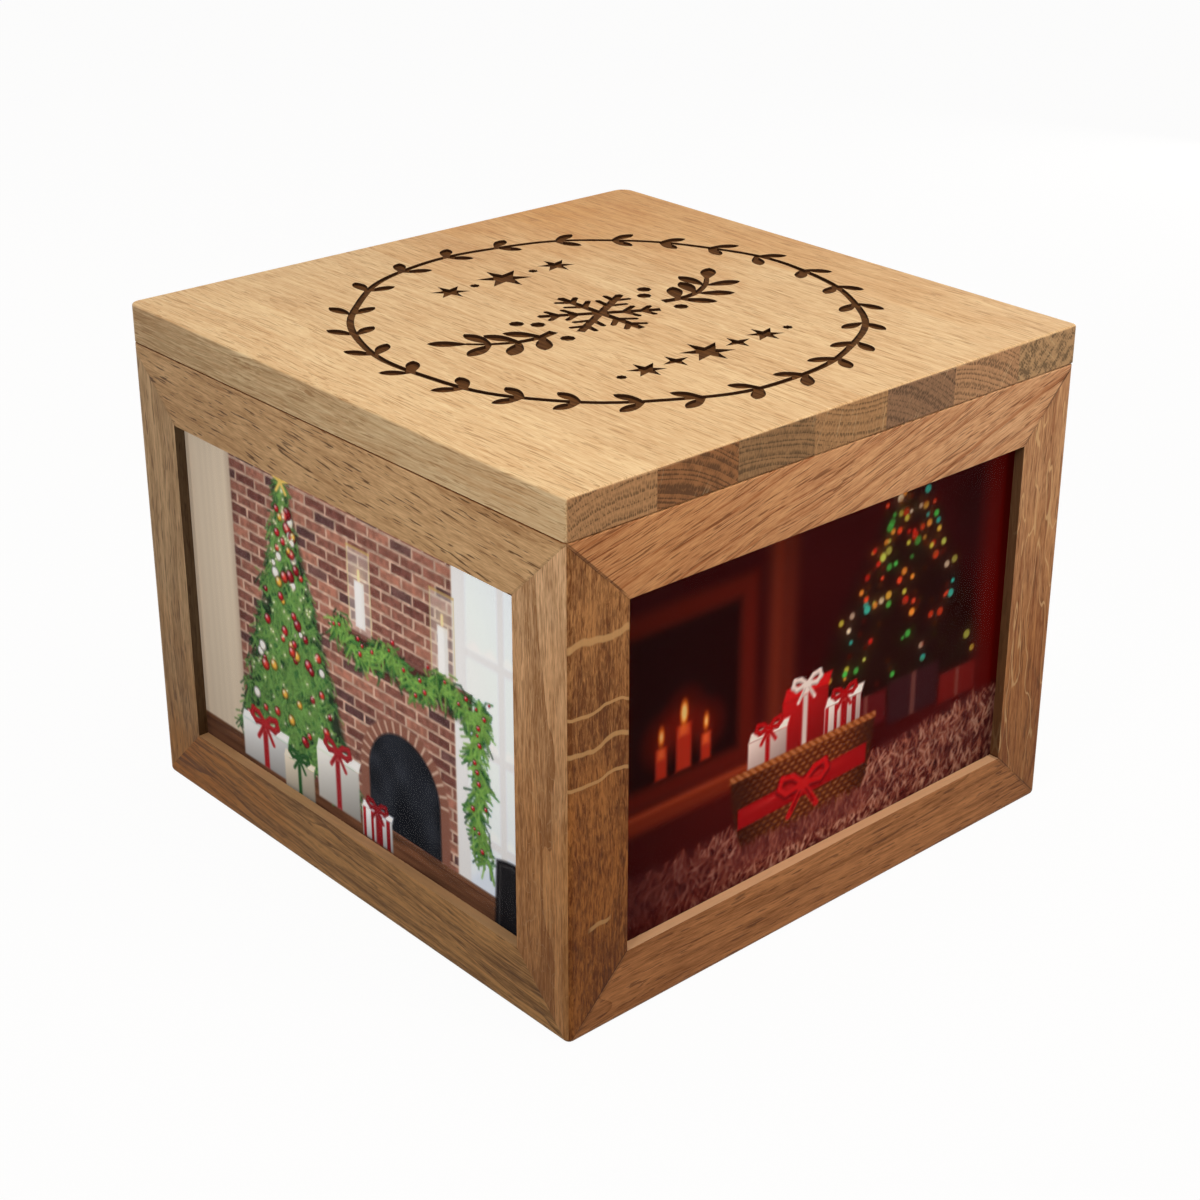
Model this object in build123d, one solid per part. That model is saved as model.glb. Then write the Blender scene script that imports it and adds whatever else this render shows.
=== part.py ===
"""Oak keepsake box with a photograph in each of its four sides.

The body is four mitred picture frames joined at 45 degree corners, closed by a base panel in a
groove. Each frame holds a clear pane, a print and a removable backing board, all loaded from
inside. The lid lifts off: it is a board of edge-glued staves with a locating panel screwed to
its underside, which drops inside the walls.

Millimetres. The origin is the centre of the underside, +Z is up and the front faces -Y.
"""

from build123d import *
import os

# Prints: the standard 6 x 4 inch size that the four windows are made for
PRINT_LENGTH = 152.4
PRINT_HEIGHT = 101.6
PRINT_THICKNESS = 0.3
PRINT_HEADROOM = 3.8      # spare height above a print, so that it drops in easily

# Frame members: four rails and stiles on each side of the body
MEMBER_WIDTH = 19.0       # seen on the face
WALL = 9.0                # thickness of the body's walls
FACE_LIP = 3.0            # wood in front of the pane
REBATE_LAP = 5.5          # how far the lip covers the edges of what it holds
REBATE_FIT = 0.3          # play round a pane, print or backing board

# What fills the rebate, from the face inwards
PANE_THICKNESS = 1.5
BOARD_GAP = 0.1           # between a print and its backing board
BOARD_THICKNESS = 3.0
BOARD_FELT_THICKNESS = 0.8

# Ribbon tab that pulls a backing board out
TAB_WIDTH = 10.0
TAB_LENGTH = 24.0
TAB_THICKNESS = 0.6
TAB_DROP = 6.0            # from the board's top edge down to the tab

# Base
BASE_THICKNESS = 4.0
BASE_HEIGHT = 4.0         # underside of the base panel above the table
GROOVE_DEPTH = 4.0        # into the walls
GROOVE_FIT = 0.3          # play at the panel's edges, for the wood's movement
GROOVE_SLACK = 0.1        # groove height over the panel's thickness
BASE_FELT_THICKNESS = 1.0
FELT_FIT = 0.3            # play between the base felt and the walls

# Lid
LID_THICKNESS = 11.0
LID_STAVES = 7
STAVE_SHIFT = 1.4         # the staves' joints lie this far right of even spacing
LOCATING_THICKNESS = 6.0
LOCATING_FIT = 0.5        # play between the locating panel and the walls
LOCATING_LEAD = 1.0       # chamfer that guides it in

# Lid screws: 3 x 12 countersunk, driven up through the locating panel
SCREW_LENGTH = 12.0
SCREW_SHANK_RADIUS = 1.5
SCREW_HEAD_RADIUS = 3.0
SCREW_POINT = 2.0         # length of the pointed end
SCREW_HEAD_SINK = 0.2     # head below the panel's surface
SCREW_FIT = 0.05          # radial play in the wood
SCREW_INSET = 28.5        # from the locating panel's edges to the screws
DRIVE_SLOT_LENGTH = 3.2
DRIVE_SLOT_WIDTH = 0.8
DRIVE_SLOT_DEPTH = 1.2

# Hand-eased edges, unequal from corner to corner: front left, front right, back right, back left
BODY_CORNER_ROUNDS = (2.0, 2.0, 4.5, 3.0)
LID_CORNER_ROUNDS = (0.8, 1.5, 4.5, 3.0)
BODY_FOOT_ROUND = 1.8
BODY_RIM_ROUND = 0.4
LID_TOP_ROUND = 0.7
LID_UNDER_ROUND = 0.4

# Sizes that follow from those above
REBATE_LENGTH = PRINT_LENGTH + 2 * REBATE_FIT
REBATE_HEIGHT = PRINT_HEIGHT + 2 * REBATE_FIT + PRINT_HEADROOM
SIDE = REBATE_LENGTH - 2 * REBATE_LAP + 2 * MEMBER_WIDTH
BODY_HEIGHT = REBATE_HEIGHT - 2 * REBATE_LAP + 2 * MEMBER_WIDTH
REBATE_FLOOR = MEMBER_WIDTH - REBATE_LAP
HALF = SIDE / 2
INNER_HALF = HALF - WALL
PRINT_DEPTH = FACE_LIP + PANE_THICKNESS
BOARD_DEPTH = PRINT_DEPTH + PRINT_THICKNESS + BOARD_GAP
SHEET_HEIGHT = REBATE_HEIGHT - 2 * REBATE_FIT    # panes, backing boards and their felt
FELT_DEPTH = BOARD_DEPTH + BOARD_THICKNESS
TAB_DEPTH = FELT_DEPTH + BOARD_FELT_THICKNESS
LOCATING_FLOOR = BODY_HEIGHT - LOCATING_THICKNESS
LOCATING_HALF = INNER_HALF - LOCATING_FIT
SCREW_PLACE = LOCATING_HALF - SCREW_INSET

SIDE_TURNS = {"front": 0, "right": 90, "back": 180, "left": 270}


def block(x, y, z):
    """A box between two limits on each axis, each given as (low, high)."""
    size = [high - low for low, high in (x, y, z)]
    return Pos(x[0], y[0], z[0]) * Box(*size, align=Align.MIN)


def eased_block(z, corner_rounds, under_round, top_round):
    """A square block of the box's outline, with rounded upright corners and eased edges."""
    solid = block((-HALF, HALF), (-HALF, HALF), z)
    corners = ((-1, -1), (1, -1), (1, 1), (-1, 1))
    for (x_sign, y_sign), radius in zip(corners, corner_rounds):
        corner = Vector(x_sign * HALF, y_sign * HALF, sum(z) / 2)
        uprights = solid.edges().filter_by(Axis.Z)
        solid = fillet(uprights.sort_by_distance(corner)[0], radius)
    solid = fillet(solid.faces().sort_by(Axis.Z)[0].edges(), under_round)
    return fillet(solid.faces().sort_by(Axis.Z)[-1].edges(), top_round)


def prism(plane, points, distance):
    """A straight prism over a closed outline drawn in a plane."""
    return extrude(plane * make_face(Polyline(*points, close=True)), distance)


def save(node, shape):
    export_step(shape, os.path.join("parts", node + ".step"))


def member_outlines():
    """The mitred outline of each frame member on the face, as (across, up) points."""
    outer_low, outer_high = (-HALF, 0), (HALF, BODY_HEIGHT)
    inner_low = (-HALF + MEMBER_WIDTH, MEMBER_WIDTH)
    inner_high = (HALF - MEMBER_WIDTH, BODY_HEIGHT - MEMBER_WIDTH)

    def corners(low, high):
        return (low[0], low[1]), (high[0], low[1]), (high[0], high[1]), (low[0], high[1])

    outer = corners(outer_low, outer_high)
    inner = corners(inner_low, inner_high)
    names = ("bottom_rail", "right_stile", "top_rail", "left_stile")
    return {
        name: (outer[i], outer[(i + 1) % 4], inner[(i + 1) % 4], inner[i])
        for i, name in enumerate(names)
    }


def frame_members(envelope):
    """The four members of the front frame, cut from the body's envelope."""
    wall_plan = (
        (-HALF, -HALF),
        (HALF, -HALF),
        (INNER_HALF, -INNER_HALF),
        (-INNER_HALF, -INNER_HALF),
    )
    wall = prism(Plane.XY, wall_plan, BODY_HEIGHT)
    rebate = block(
        (-REBATE_LENGTH / 2, REBATE_LENGTH / 2),
        (-HALF + FACE_LIP, -INNER_HALF),
        (REBATE_FLOOR, REBATE_FLOOR + REBATE_HEIGHT),
    )
    groove_half = INNER_HALF + GROOVE_DEPTH
    groove = block(
        (-groove_half, groove_half),
        (-groove_half, groove_half),
        (BASE_HEIGHT, BASE_HEIGHT + BASE_THICKNESS + GROOVE_SLACK),
    )
    face = Plane(origin=(0, -HALF, 0), x_dir=(1, 0, 0), z_dir=(0, -1, 0))
    for name, outline in member_outlines().items():
        wedge = prism(face, outline, -WALL)
        yield name, envelope & wall & wedge - rebate - groove


def save_body_frames():
    for side, turn in SIDE_TURNS.items():
        rounds = [BODY_CORNER_ROUNDS[(i + turn // 90) % 4] for i in range(4)]
        envelope = eased_block((0, BODY_HEIGHT), rounds, BODY_FOOT_ROUND, BODY_RIM_ROUND)
        for member, solid in frame_members(envelope):
            save(f"{side}_{member}", Rot(0, 0, turn) * solid)


def rebate_sheet(depth, thickness, height):
    """A sheet standing in the front rebate, at a depth behind the face."""
    return block(
        (-PRINT_LENGTH / 2, PRINT_LENGTH / 2),
        (-HALF + depth, -HALF + depth + thickness),
        (REBATE_FLOOR + REBATE_FIT, REBATE_FLOOR + REBATE_FIT + height),
    )


def pull_tab():
    top = REBATE_FLOOR + REBATE_FIT + SHEET_HEIGHT - TAB_DROP
    tab = block(
        (-TAB_WIDTH / 2, TAB_WIDTH / 2),
        (-HALF + TAB_DEPTH, -HALF + TAB_DEPTH + TAB_THICKNESS),
        (top - TAB_LENGTH, top),
    )
    return fillet(tab.edges().filter_by(Axis.Y), TAB_WIDTH / 4)


def save_side_fillings():
    fillings = {
        "pane": rebate_sheet(FACE_LIP, PANE_THICKNESS, SHEET_HEIGHT),
        "print": rebate_sheet(PRINT_DEPTH, PRINT_THICKNESS, PRINT_HEIGHT),
        "backing_board": rebate_sheet(BOARD_DEPTH, BOARD_THICKNESS, SHEET_HEIGHT),
        "board_felt": rebate_sheet(FELT_DEPTH, BOARD_FELT_THICKNESS, SHEET_HEIGHT),
        "pull_tab": pull_tab(),
    }
    for side, turn in SIDE_TURNS.items():
        for name, solid in fillings.items():
            save(f"{side}_{name}", Rot(0, 0, turn) * solid)


def save_base():
    panel_half = INNER_HALF + GROOVE_DEPTH - GROOVE_FIT
    felt_half = INNER_HALF - FELT_FIT
    top = BASE_HEIGHT + BASE_THICKNESS
    across_panel = (-panel_half, panel_half)
    across_felt = (-felt_half, felt_half)
    save("base_panel", block(across_panel, across_panel, (BASE_HEIGHT, top)))
    save("base_felt", block(across_felt, across_felt, (top, top + BASE_FELT_THICKNESS)))


def lid_screw(play=0.0):
    """One screw standing on its head, its head's face at height 0. Play makes it a hole."""
    head_radius = SCREW_HEAD_RADIUS + play
    shank_radius = SCREW_SHANK_RADIUS + play
    cone = head_radius - shank_radius
    profile = Polyline(
        (0, 0),
        (head_radius, 0),
        (shank_radius, cone),
        (shank_radius, SCREW_LENGTH - SCREW_POINT),
        (0, SCREW_LENGTH),
        close=True,
    )
    return revolve(Plane.XZ * make_face(profile), Axis.Z)


def screw_places():
    """Where the four screws stand under the lid."""
    screw_base = LOCATING_FLOOR + SCREW_HEAD_SINK
    return [
        Pos(x, y, screw_base)
        for x in (-SCREW_PLACE, SCREW_PLACE)
        for y in (-SCREW_PLACE, SCREW_PLACE)
    ]


def save_lid_staves(holes):
    top = BODY_HEIGHT + LID_THICKNESS
    board = eased_block((BODY_HEIGHT, top), LID_CORNER_ROUNDS, LID_UNDER_ROUND, LID_TOP_ROUND)
    stave_width = SIDE / LID_STAVES
    joints = [i * stave_width - HALF + STAVE_SHIFT for i in range(1, LID_STAVES)]
    sides = [-HALF, *joints, HALF]
    for number, (left, right) in enumerate(zip(sides, sides[1:]), start=1):
        strip = block((left, right), (-HALF, HALF), (BODY_HEIGHT, top))
        save(f"lid_stave_{number}", board & strip - holes)


def save_locating_panel(holes):
    across = (-LOCATING_HALF, LOCATING_HALF)
    panel = block(across, across, (LOCATING_FLOOR, BODY_HEIGHT))
    panel = chamfer(panel.faces().sort_by(Axis.Z)[0].edges(), LOCATING_LEAD)
    save("lid_locating_panel", panel - holes)


def save_lid():
    places = screw_places()
    mouth = Cylinder(SCREW_HEAD_RADIUS + SCREW_FIT, 2 * SCREW_HEAD_SINK)
    holes = [place * (lid_screw(SCREW_FIT) + mouth) for place in places]
    save_lid_staves(holes)
    save_locating_panel(holes)

    slot = Box(DRIVE_SLOT_LENGTH, DRIVE_SLOT_WIDTH, 2 * DRIVE_SLOT_DEPTH)
    screw = lid_screw() - slot - Rot(0, 0, 90) * slot
    save("lid_screws", Compound(children=[place * screw for place in places]))


os.makedirs("parts", exist_ok=True)
save_body_frames()
save_side_fillings()
save_base()
save_lid()
print(f"outside {SIDE:.1f} x {SIDE:.1f} x {BODY_HEIGHT + LID_THICKNESS:.1f} mm")
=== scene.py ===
"""Oak keepsake box: wood, carving, prints, felt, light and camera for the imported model.

The box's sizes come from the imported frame. Lengths here are written in millimetres and turned to
metres where Blender needs them. X is to the right along the front, Y to the back and Z up.
"""

import cmath
import functools
import math

import bmesh
import bpy
import numpy as np
from mathutils import Matrix, Vector


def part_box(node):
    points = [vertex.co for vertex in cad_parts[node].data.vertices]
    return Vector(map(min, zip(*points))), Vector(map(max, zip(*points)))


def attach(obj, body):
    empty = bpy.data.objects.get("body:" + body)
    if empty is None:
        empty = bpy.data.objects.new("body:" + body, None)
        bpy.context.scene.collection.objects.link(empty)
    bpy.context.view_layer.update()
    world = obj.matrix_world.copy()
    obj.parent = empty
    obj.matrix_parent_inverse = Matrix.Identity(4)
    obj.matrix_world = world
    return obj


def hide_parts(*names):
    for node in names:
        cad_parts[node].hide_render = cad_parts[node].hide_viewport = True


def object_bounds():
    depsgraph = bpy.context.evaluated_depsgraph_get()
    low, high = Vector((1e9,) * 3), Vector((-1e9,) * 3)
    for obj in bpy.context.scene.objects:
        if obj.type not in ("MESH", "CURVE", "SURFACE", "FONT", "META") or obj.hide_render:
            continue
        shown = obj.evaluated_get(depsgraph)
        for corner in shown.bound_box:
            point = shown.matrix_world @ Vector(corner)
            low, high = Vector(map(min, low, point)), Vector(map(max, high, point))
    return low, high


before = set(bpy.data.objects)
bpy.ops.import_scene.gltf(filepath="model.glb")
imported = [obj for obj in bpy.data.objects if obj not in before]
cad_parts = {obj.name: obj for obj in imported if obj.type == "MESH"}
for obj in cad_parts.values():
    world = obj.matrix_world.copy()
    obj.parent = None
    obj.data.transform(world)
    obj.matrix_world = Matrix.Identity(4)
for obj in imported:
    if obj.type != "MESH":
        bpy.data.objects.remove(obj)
cad_low, cad_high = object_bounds()

MM = 0.001
X, Y, Z = Vector((1, 0, 0)), Vector((0, 1, 0)), Vector((0, 0, 1))
HALF_WIDTH = 90.0             # from the box's middle to its outer faces
SIDE_TURNS = {"front": 0, "right": 90, "back": 180, "left": 270}
SMOOTH = dict(interpolation_type="SMOOTHSTEP")
RGBA = dict(data_type="RGBA")


def rgb(colour):
    """An sRGB hex colour as three numbers from 0 to 1. Numbers stay as they are."""
    if isinstance(colour, str):
        return np.array([int(colour[i : i + 2], 16) / 255 for i in (1, 3, 5)])
    return colour


def linear(colour):
    """An sRGB colour, or an array of them, as the linear one that a shader takes."""
    srgb = rgb(colour)
    return np.where(srgb <= 0.04045, srgb / 12.92, ((srgb + 0.055) / 1.055) ** 2.4)


def add(tree, kind, inputs=(), stops=(), **settings):
    """Adds a node and returns its outputs. A word after its kind is its operation. The inputs come
    in the sockets' order, or by name or number. Each is a value, a hex colour, or another node's
    output to link."""
    kind, _, operation = kind.partition(" ")
    node = tree.nodes.new("ShaderNode" + kind)
    if operation:
        node.operation = operation
    for name, value in settings.items():
        setattr(node, name, value)
    for key, value in inputs.items() if isinstance(inputs, dict) else enumerate(inputs):
        if isinstance(value, bpy.types.NodeSocket):
            tree.links.new(value, node.inputs[key])
        else:
            value = (*linear(value), 1.0) if isinstance(value, str) else value
            node.inputs[key].default_value = value
    if stops:
        elements = node.color_ramp.elements
        while len(elements) < len(stops):
            elements.new(1.0)
        for element, (place, hex_colour) in zip(elements, stops):
            element.position = place
            element.color = (*linear(hex_colour), 1.0)
    return node.outputs


def cleared(owner):
    """Empties a material's or world's nodes, and returns what puts new ones there."""
    owner.use_nodes = True
    owner.node_tree.nodes.clear()
    return functools.partial(add, owner.node_tree)


def new_material(name, finish, *about, **look):
    """A material for one real finish. finish puts its nodes there, and returns its shader or what
    the usual shader takes."""
    material = bpy.data.materials.new(name)
    put = cleared(material)
    shader = finish(put, *about, **look)
    if isinstance(shader, dict):
        shader = put("BsdfPrincipled", shader)[0]
    put("OutputMaterial", [shader])
    return material


def new_object(name, data):
    thing = bpy.data.objects.new(name, data)
    bpy.context.scene.collection.objects.link(thing)
    return thing


def new_mesh(name, vertices, faces):
    """A mesh object from millimetre vertices."""
    mesh = bpy.data.meshes.new(name)
    mesh.from_pydata([Vector(v) * MM for v in vertices], [], faces)
    mesh.validate()
    return new_object(name, mesh)


def grid_faces(rows, columns):
    """The faces between points in rows, and the numbers of the points round the rim."""
    index = np.arange(rows * columns).reshape(rows, columns)
    quads = np.stack([index[:-1, :-1], index[:-1, 1:], index[1:, 1:], index[1:, :-1]], axis=-1)
    rim = np.concatenate([index[0, :], index[1:, -1], index[-1, -2::-1], index[-2:0:-1, 0]])
    return quads.reshape(-1, 4), rim


def band(under, over):
    """The faces between two closed loops of points."""
    return np.stack([under, np.roll(under, -1), np.roll(over, -1), over], axis=-1).tolist()


def turned(side, size=3):
    """The turn that takes the front to a side of the box."""
    return Matrix.Rotation(math.radians(SIDE_TURNS[side]), size, "Z")


def repaint(node, material):
    """Gives a CAD piece its real finish."""
    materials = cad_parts[node].data.materials
    materials.clear()
    materials.append(material)


def fit(piece, body, node):
    """Puts a new piece on its body, in place of its CAD solid."""
    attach(piece, body)
    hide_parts(node)


# ---------------------------------------------------------------- oak

# Sawn and sanded European oak under a thin satin oil. The eye sees soft growth bands, dark open
# pores as short dashes along the grain, pale ray flecks, and a darker, pored end grain.
OAK_DEFAULTS = dict(
    light="#e3bd8d",          # pale wood between the growth bands
    dark="#b98a5c",           # wood of the darkest bands and fibres
    pore="#6b4526",
    end="#9c7048",            # end grain
    edge="#8f6a48",           # painted shade and light on the faces round a window
    ray="#e3bd8d",            # ray flecks
    amber=(0.0, 45.0, 125.0), # painted shade: depth, and mm along the grain from none to deepest
    sawn=0.0,                 # painted shade: how much darker its sides are than its face, towards the back
    mitre=0.6,                # how dark the glue shows in its mitres
    rim=0.0,                  # painted shade: how brown its top's outer strip is, seen in the lid's seam
    ring=3.0,                 # mm from one growth ring to the next
    pith=(45.0, 60.0),        # mm from the piece to the log's heart, across and into its face
    slope=0.0,                # degrees between the grain and the piece's length
    bands=0.4,                # how strongly each pattern shows, from 0 to 1
    lines=0.4,
    fibres=0.5,
    fibre_size=(9.0, 0.8),    # mm, length and width of a fibre
    curl=0.0,                 # how far the fibres swirl
    streaks=0.4,
    streak_size=(45.0, 2.2),
    grit=0.25,                # the finest fibres, as the sander left them
    mottle=0.25,
    pores=0.6,
    pore_size=(7.0, 0.75),    # mm, length and width of a pore's dash
    pore_level=0.62,          # height of the noise above which a pore opens
    flecks=0.0,
    fleck_size=(12.0, 22.0),  # mm, spacing of the fine ray flecks along and across the grain
    ray_places=(),            # each broad ray fleck: mm up from the middle, thick, from, to
    end_bands=0.18,           # how strongly the rings show in the end grain
    blotches=0.5,
)
GRIT_SIZE = (3.5, 0.35)       # mm, length and width
CLOUD_SIZE = (22, 12)
WAVE_SIZE = (30, 9)
# painted shade, deepening from one end of a piece's grain to the other
FALLOFF_SHADE_TINT = "#eccb9e"
# painted shade on the sides of a stave
SIDE_SHADE_TINT = "#cbc2b2"
GLUE = "#452812"
# painted shade seen through the seam under the lid
SEAM_SHADE_BROWN = "#8a4a1c"
END_PORE = (0.6, 1.3)         # mm from pore to pore along a ring, and from the heart outwards
END_PORE_SHADE = 0.36


def oak(put, node, grain, face, seed, outward=None, **changes):
    """Oak for one piece. grain and face are unit axes: along the grain, and out of the seen face.
    A mitred frame member also has outward, the axis from its window to the box's edge."""
    look = {**OAK_DEFAULTS, **changes}
    low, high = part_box(node)
    centre = (low + high) / 2 / MM
    across = face.cross(grain)
    slope = math.radians(look["slope"])
    along = math.cos(slope) * grain + math.sin(slope) * across
    axes = Matrix((along, face.cross(along), face))
    start = Vector((np.random.default_rng(seed).uniform(200, 2000), *look["pith"]))

    # Wood coordinates in mm: x along the grain, y across it, z out of the face, heart at y = z = 0
    coords = put("TexCoord")
    wood = [coords["Object"], start - axes @ centre, axes.to_euler(), (1 / MM,) * 3]
    wood = put("Mapping", wood)[0]

    def stretched(base, length, width):
        """Coordinates in which a pattern of unit size is this long and this wide."""
        return put("VectorMath MULTIPLY", [base, (1 / length, 1 / width, 1 / width)])[0]

    def measure(axis):
        """Millimetres from the piece's middle along an axis of the box."""
        place = put("VectorMath DOT_PRODUCT", [coords["Object"], axis / MM])["Value"]
        return put("Math SUBTRACT", [place, centre.dot(axis)])[0]

    def facing(axis, first, last, most=1.0, both_ways=True):
        """0 to most, as the surface turns to face along an axis."""
        share = put("VectorMath DOT_PRODUCT", [coords["Normal"], axis])["Value"]
        if both_ways:
            share = put("Math ABSOLUTE", [share])[0]
        return put("MapRange", [share, first, last, 0.0, most])[0]

    def grown(base):
        """The growth rings: a place in the log's section, its distance from the heart, the porous
        early wood of each ring, and the thin dark line where the next ring starts."""
        section = put("VectorMath MULTIPLY", [base, (0, 1, 1)])[0]
        radius = put("VectorMath LENGTH", [section])["Value"]
        count = put("Math DIVIDE", [radius, look["ring"]])[0]
        uneven = {"W": count, "Scale": 0.45, "Detail": 1.0}
        uneven = put("TexNoise", uneven, noise_dimensions="1D")[0]
        phase = put("Math FRACT", [put("Math MULTIPLY_ADD", [uneven, 1.8, count])[0]])[0]
        early = put("MapRange", [phase, 0.1, 0.6, 1.0, 0.0], **SMOOTH)[0]
        line = put("MapRange", [phase, 0.0, 0.14, 1.0, 0.0], **SMOOTH)[0]
        return section, radius, early, line

    drift = {"Vector": stretched(wood, 75, 17), "Scale": 1.0, "Detail": 2.0}
    drift = put("TexNoise", drift)["Color"]
    warped = put("VectorMath MULTIPLY_ADD", [drift, (0, 8, 8), wood])[0]
    _, _, early, line = grown(warped)
    fibre, streak, grit, cloud, vessel = (
        put("TexNoise", {"Vector": stretched(base, *size), "Scale": 1.0, "Detail": detail, **more})[0]
        for base, size, detail, more in (
            (warped, look["fibre_size"], 3.0, {"Roughness": 0.7, "Distortion": look["curl"]}),
            (warped, look["streak_size"], 3.0, {}),
            (wood, GRIT_SIZE, 2.0, {}),
            (wood, CLOUD_SIZE, 2.0, {}),
            (warped, look["pore_size"], 1.0, {}),
        )
    )
    tone = middle = 0.5
    for pattern, strength, mean in (
        (early, 0.5 * look["bands"], 0.4),
        (line, 0.6 * look["lines"], 1 / 12),
        (fibre, 3.0 * look["fibres"], 0.5),
        (streak, 3.0 * look["streaks"], 0.5),
        (grit, 3.0 * look["grit"], 0.5),
        (cloud, 3.0 * look["mottle"], 0.5),
    ):
        tone = put("Math MULTIPLY_ADD", [pattern, strength, tone])[0]
        middle += strength * mean
    tone = put("MapRange", [tone, middle - 0.5, middle + 0.5])[0]
    colour = put("Mix", {0: tone, 6: look["light"], 7: look["dark"]}, **RGBA)[2]

    # What lies over the plain wood, in order: how far it covers, its colour, and how it mixes
    layers = []
    # Painted shade: a darkening, uneven with the cloud, from one end of the grain to the other
    depth, first, last = look["amber"]
    if depth:
        falloff_cover = put("Math MULTIPLY_ADD", [cloud, 70.0, measure(grain)])[0]
        falloff_cover = put("MapRange", [falloff_cover, first, last, 0.0, depth])[0]
        layers.append((falloff_cover, FALLOFF_SHADE_TINT, "MULTIPLY"))
    # Painted shade: the sides across the grain darken in streaks, more towards the back
    if look["sawn"]:
        torn = put("MapRange", [fibre, 0.4, 0.6, 0.0, look["sawn"]])[0]
        side = put("Math MULTIPLY", [facing(across, 0.7, 0.9), torn])[0]
        far_end_shade = put("MapRange", [measure(grain), -HALF_WIDTH, 30.0])[0]
        layers.append((put("Math MULTIPLY", [side, far_end_shade])[0], SIDE_SHADE_TINT, "MULTIPLY"))

    # End grain, where the surface faces along the grain: rows of pores along the rings, and rays
    end = facing(grain, 0.75, 0.95)
    straight = put("VectorMath MULTIPLY_ADD", [drift, (0, 2.5, 2.5), wood])[0]
    section, radius, porous, _ = grown(straight)
    parts = put("SeparateXYZ", [section])
    polar = put("CombineXYZ", [put("Math ARCTAN2", [parts[2], parts[1]])[0], radius])[0]
    scale = (math.hypot(*look["pith"]) / END_PORE[0], 1 / END_PORE[1], 0)
    rows = put("VectorMath MULTIPLY", [polar, scale])[0]
    hole = {"Vector": rows, "Scale": 1.0, "Randomness": 0.6}
    hole = put("TexVoronoi", hole, voronoi_dimensions="2D")["Distance"]
    hole = put("MapRange", [hole, 0.1, 0.65, 1.0, 0.0], **SMOOTH)[0]
    ringed = put("Math MULTIPLY_ADD", [porous, 0.55, 0.4])[0]
    tone = put("Math MULTIPLY", [hole, ringed])[0]
    tone = put("Math MULTIPLY_ADD", [porous, look["end_bands"], tone])[0]
    blotch = put("TexNoise", {"Vector": section, "Scale": 0.35, "Detail": 5.0})[0]
    blotch = put("Math SUBTRACT", [blotch, 0.5])[0]
    tone = put("Math MULTIPLY_ADD", [blotch, look["blotches"], tone])[0]
    end_dark = (*(END_PORE_SHADE * linear(look["end"])), 1.0)
    layers.append((end, put("Mix", {0: tone, 6: look["end"], 7: end_dark}, **RGBA)[2], "MIX"))
    spread = put("VectorMath MULTIPLY", [polar, (70, 0.05, 0)])[0]
    ray = put("TexNoise", {"Vector": spread, "Scale": 1.0, "Detail": 1.0})[0]
    ray = put("MapRange", [ray, 0.66, 0.74, 0.0, 0.25])[0]
    layers.append((put("Math MULTIPLY", [ray, end])[0], look["light"], "MIX"))

    # Open pores, cut lengthwise: short dark dashes, more of them in the early wood
    vessel = put("Math MULTIPLY_ADD", [early, 0.05, vessel])[0]
    level = look["pore_level"]
    dash = put("MapRange", [vessel, level, level + 0.09], **SMOOTH)[0]
    dash = put("Math MULTIPLY", [dash, put("Math SUBTRACT", [1.0, end])[0]])[0]
    layers.append((put("Math MULTIPLY", [dash, look["pores"]])[0], look["pore"], "MIX"))

    # Ray flecks: pale wavy ribbons across the grain of a quarter-sawn face
    if look["ray_places"]:
        wave = {"Vector": stretched(wood, *WAVE_SIZE), "Scale": 1.0, "Detail": 2.0}
        wave = put("TexNoise", wave)[0]
        level = put("Math MULTIPLY_ADD", [wave, -6.0, measure(grain)])[0]
        level = put("Math ADD", [level, 3.0])[0]
        sideways = measure(across)
    for place, thick, left, right in look["ray_places"]:
        away = put("Math ABSOLUTE", [put("Math SUBTRACT", [level, place])[0]])[0]
        fleck = put("MapRange", [away, 0.3 * thick, 0.65 * thick, 0.85, 0.0], **SMOOTH)[0]
        for limit, soft in ((left, 0.6), (right, -0.6)):
            inside = put("MapRange", [sideways, limit - soft, limit + soft])[0]
            fleck = put("Math MULTIPLY", [fleck, inside])[0]
        layers.append((fleck, look["ray"], "MIX"))
    if look["flecks"]:
        fleck = {"Vector": stretched(warped, *look["fleck_size"]), "Scale": 1.0, "Detail": 1.5}
        fleck = put("Math SUBTRACT", [put("TexNoise", fleck)[0], 0.5])[0]
        fleck = [put("Math ABSOLUTE", [fleck])[0], 0.004, 0.014, look["flecks"], 0.0]
        layers.append((put("MapRange", fleck, **SMOOTH)[0], look["ray"], "MIX"))

    if outward is not None:
        # Painted light and shade round the window, and a dark hairline of glue where two mitres meet
        layers.append((facing(-outward, 0.6, 0.8, 0.85, both_ways=False), look["edge"], "MIX"))
        length, width = (abs((high - low).dot(axis)) / MM for axis in (grain, outward))
        reach = put("Math ABSOLUTE", [measure(grain)])[0]
        reach = put("Math SUBTRACT", [measure(outward), reach])[0]
        gap = put("Math ADD", [reach, (length - width) / 2])[0]
        glue = put("MapRange", [gap, 0.1, 0.35, look["mitre"], 0.0])[0]
        broken = put("MapRange", [cloud, 0.42, 0.56])[0]
        layers.append((put("Math MULTIPLY", [glue, broken])[0], GLUE, "MIX"))
        # Painted shade: the outer strip of the top turns brown, so that the open seam above it reads
        # dark
        if look["rim"]:
            up = facing(Z, 0.6, 0.9, look["rim"], both_ways=False)
            outer = put("MapRange", [measure(face), 2.6, 3.4])[0]
            layers.append((put("Math MULTIPLY", [up, outer])[0], SEAM_SHADE_BROWN, "MIX"))
    for cover, tint, blend in layers:
        colour = put("Mix", {0: cover, 6: colour, 7: tint}, blend_type=blend, **RGBA)[2]

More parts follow.
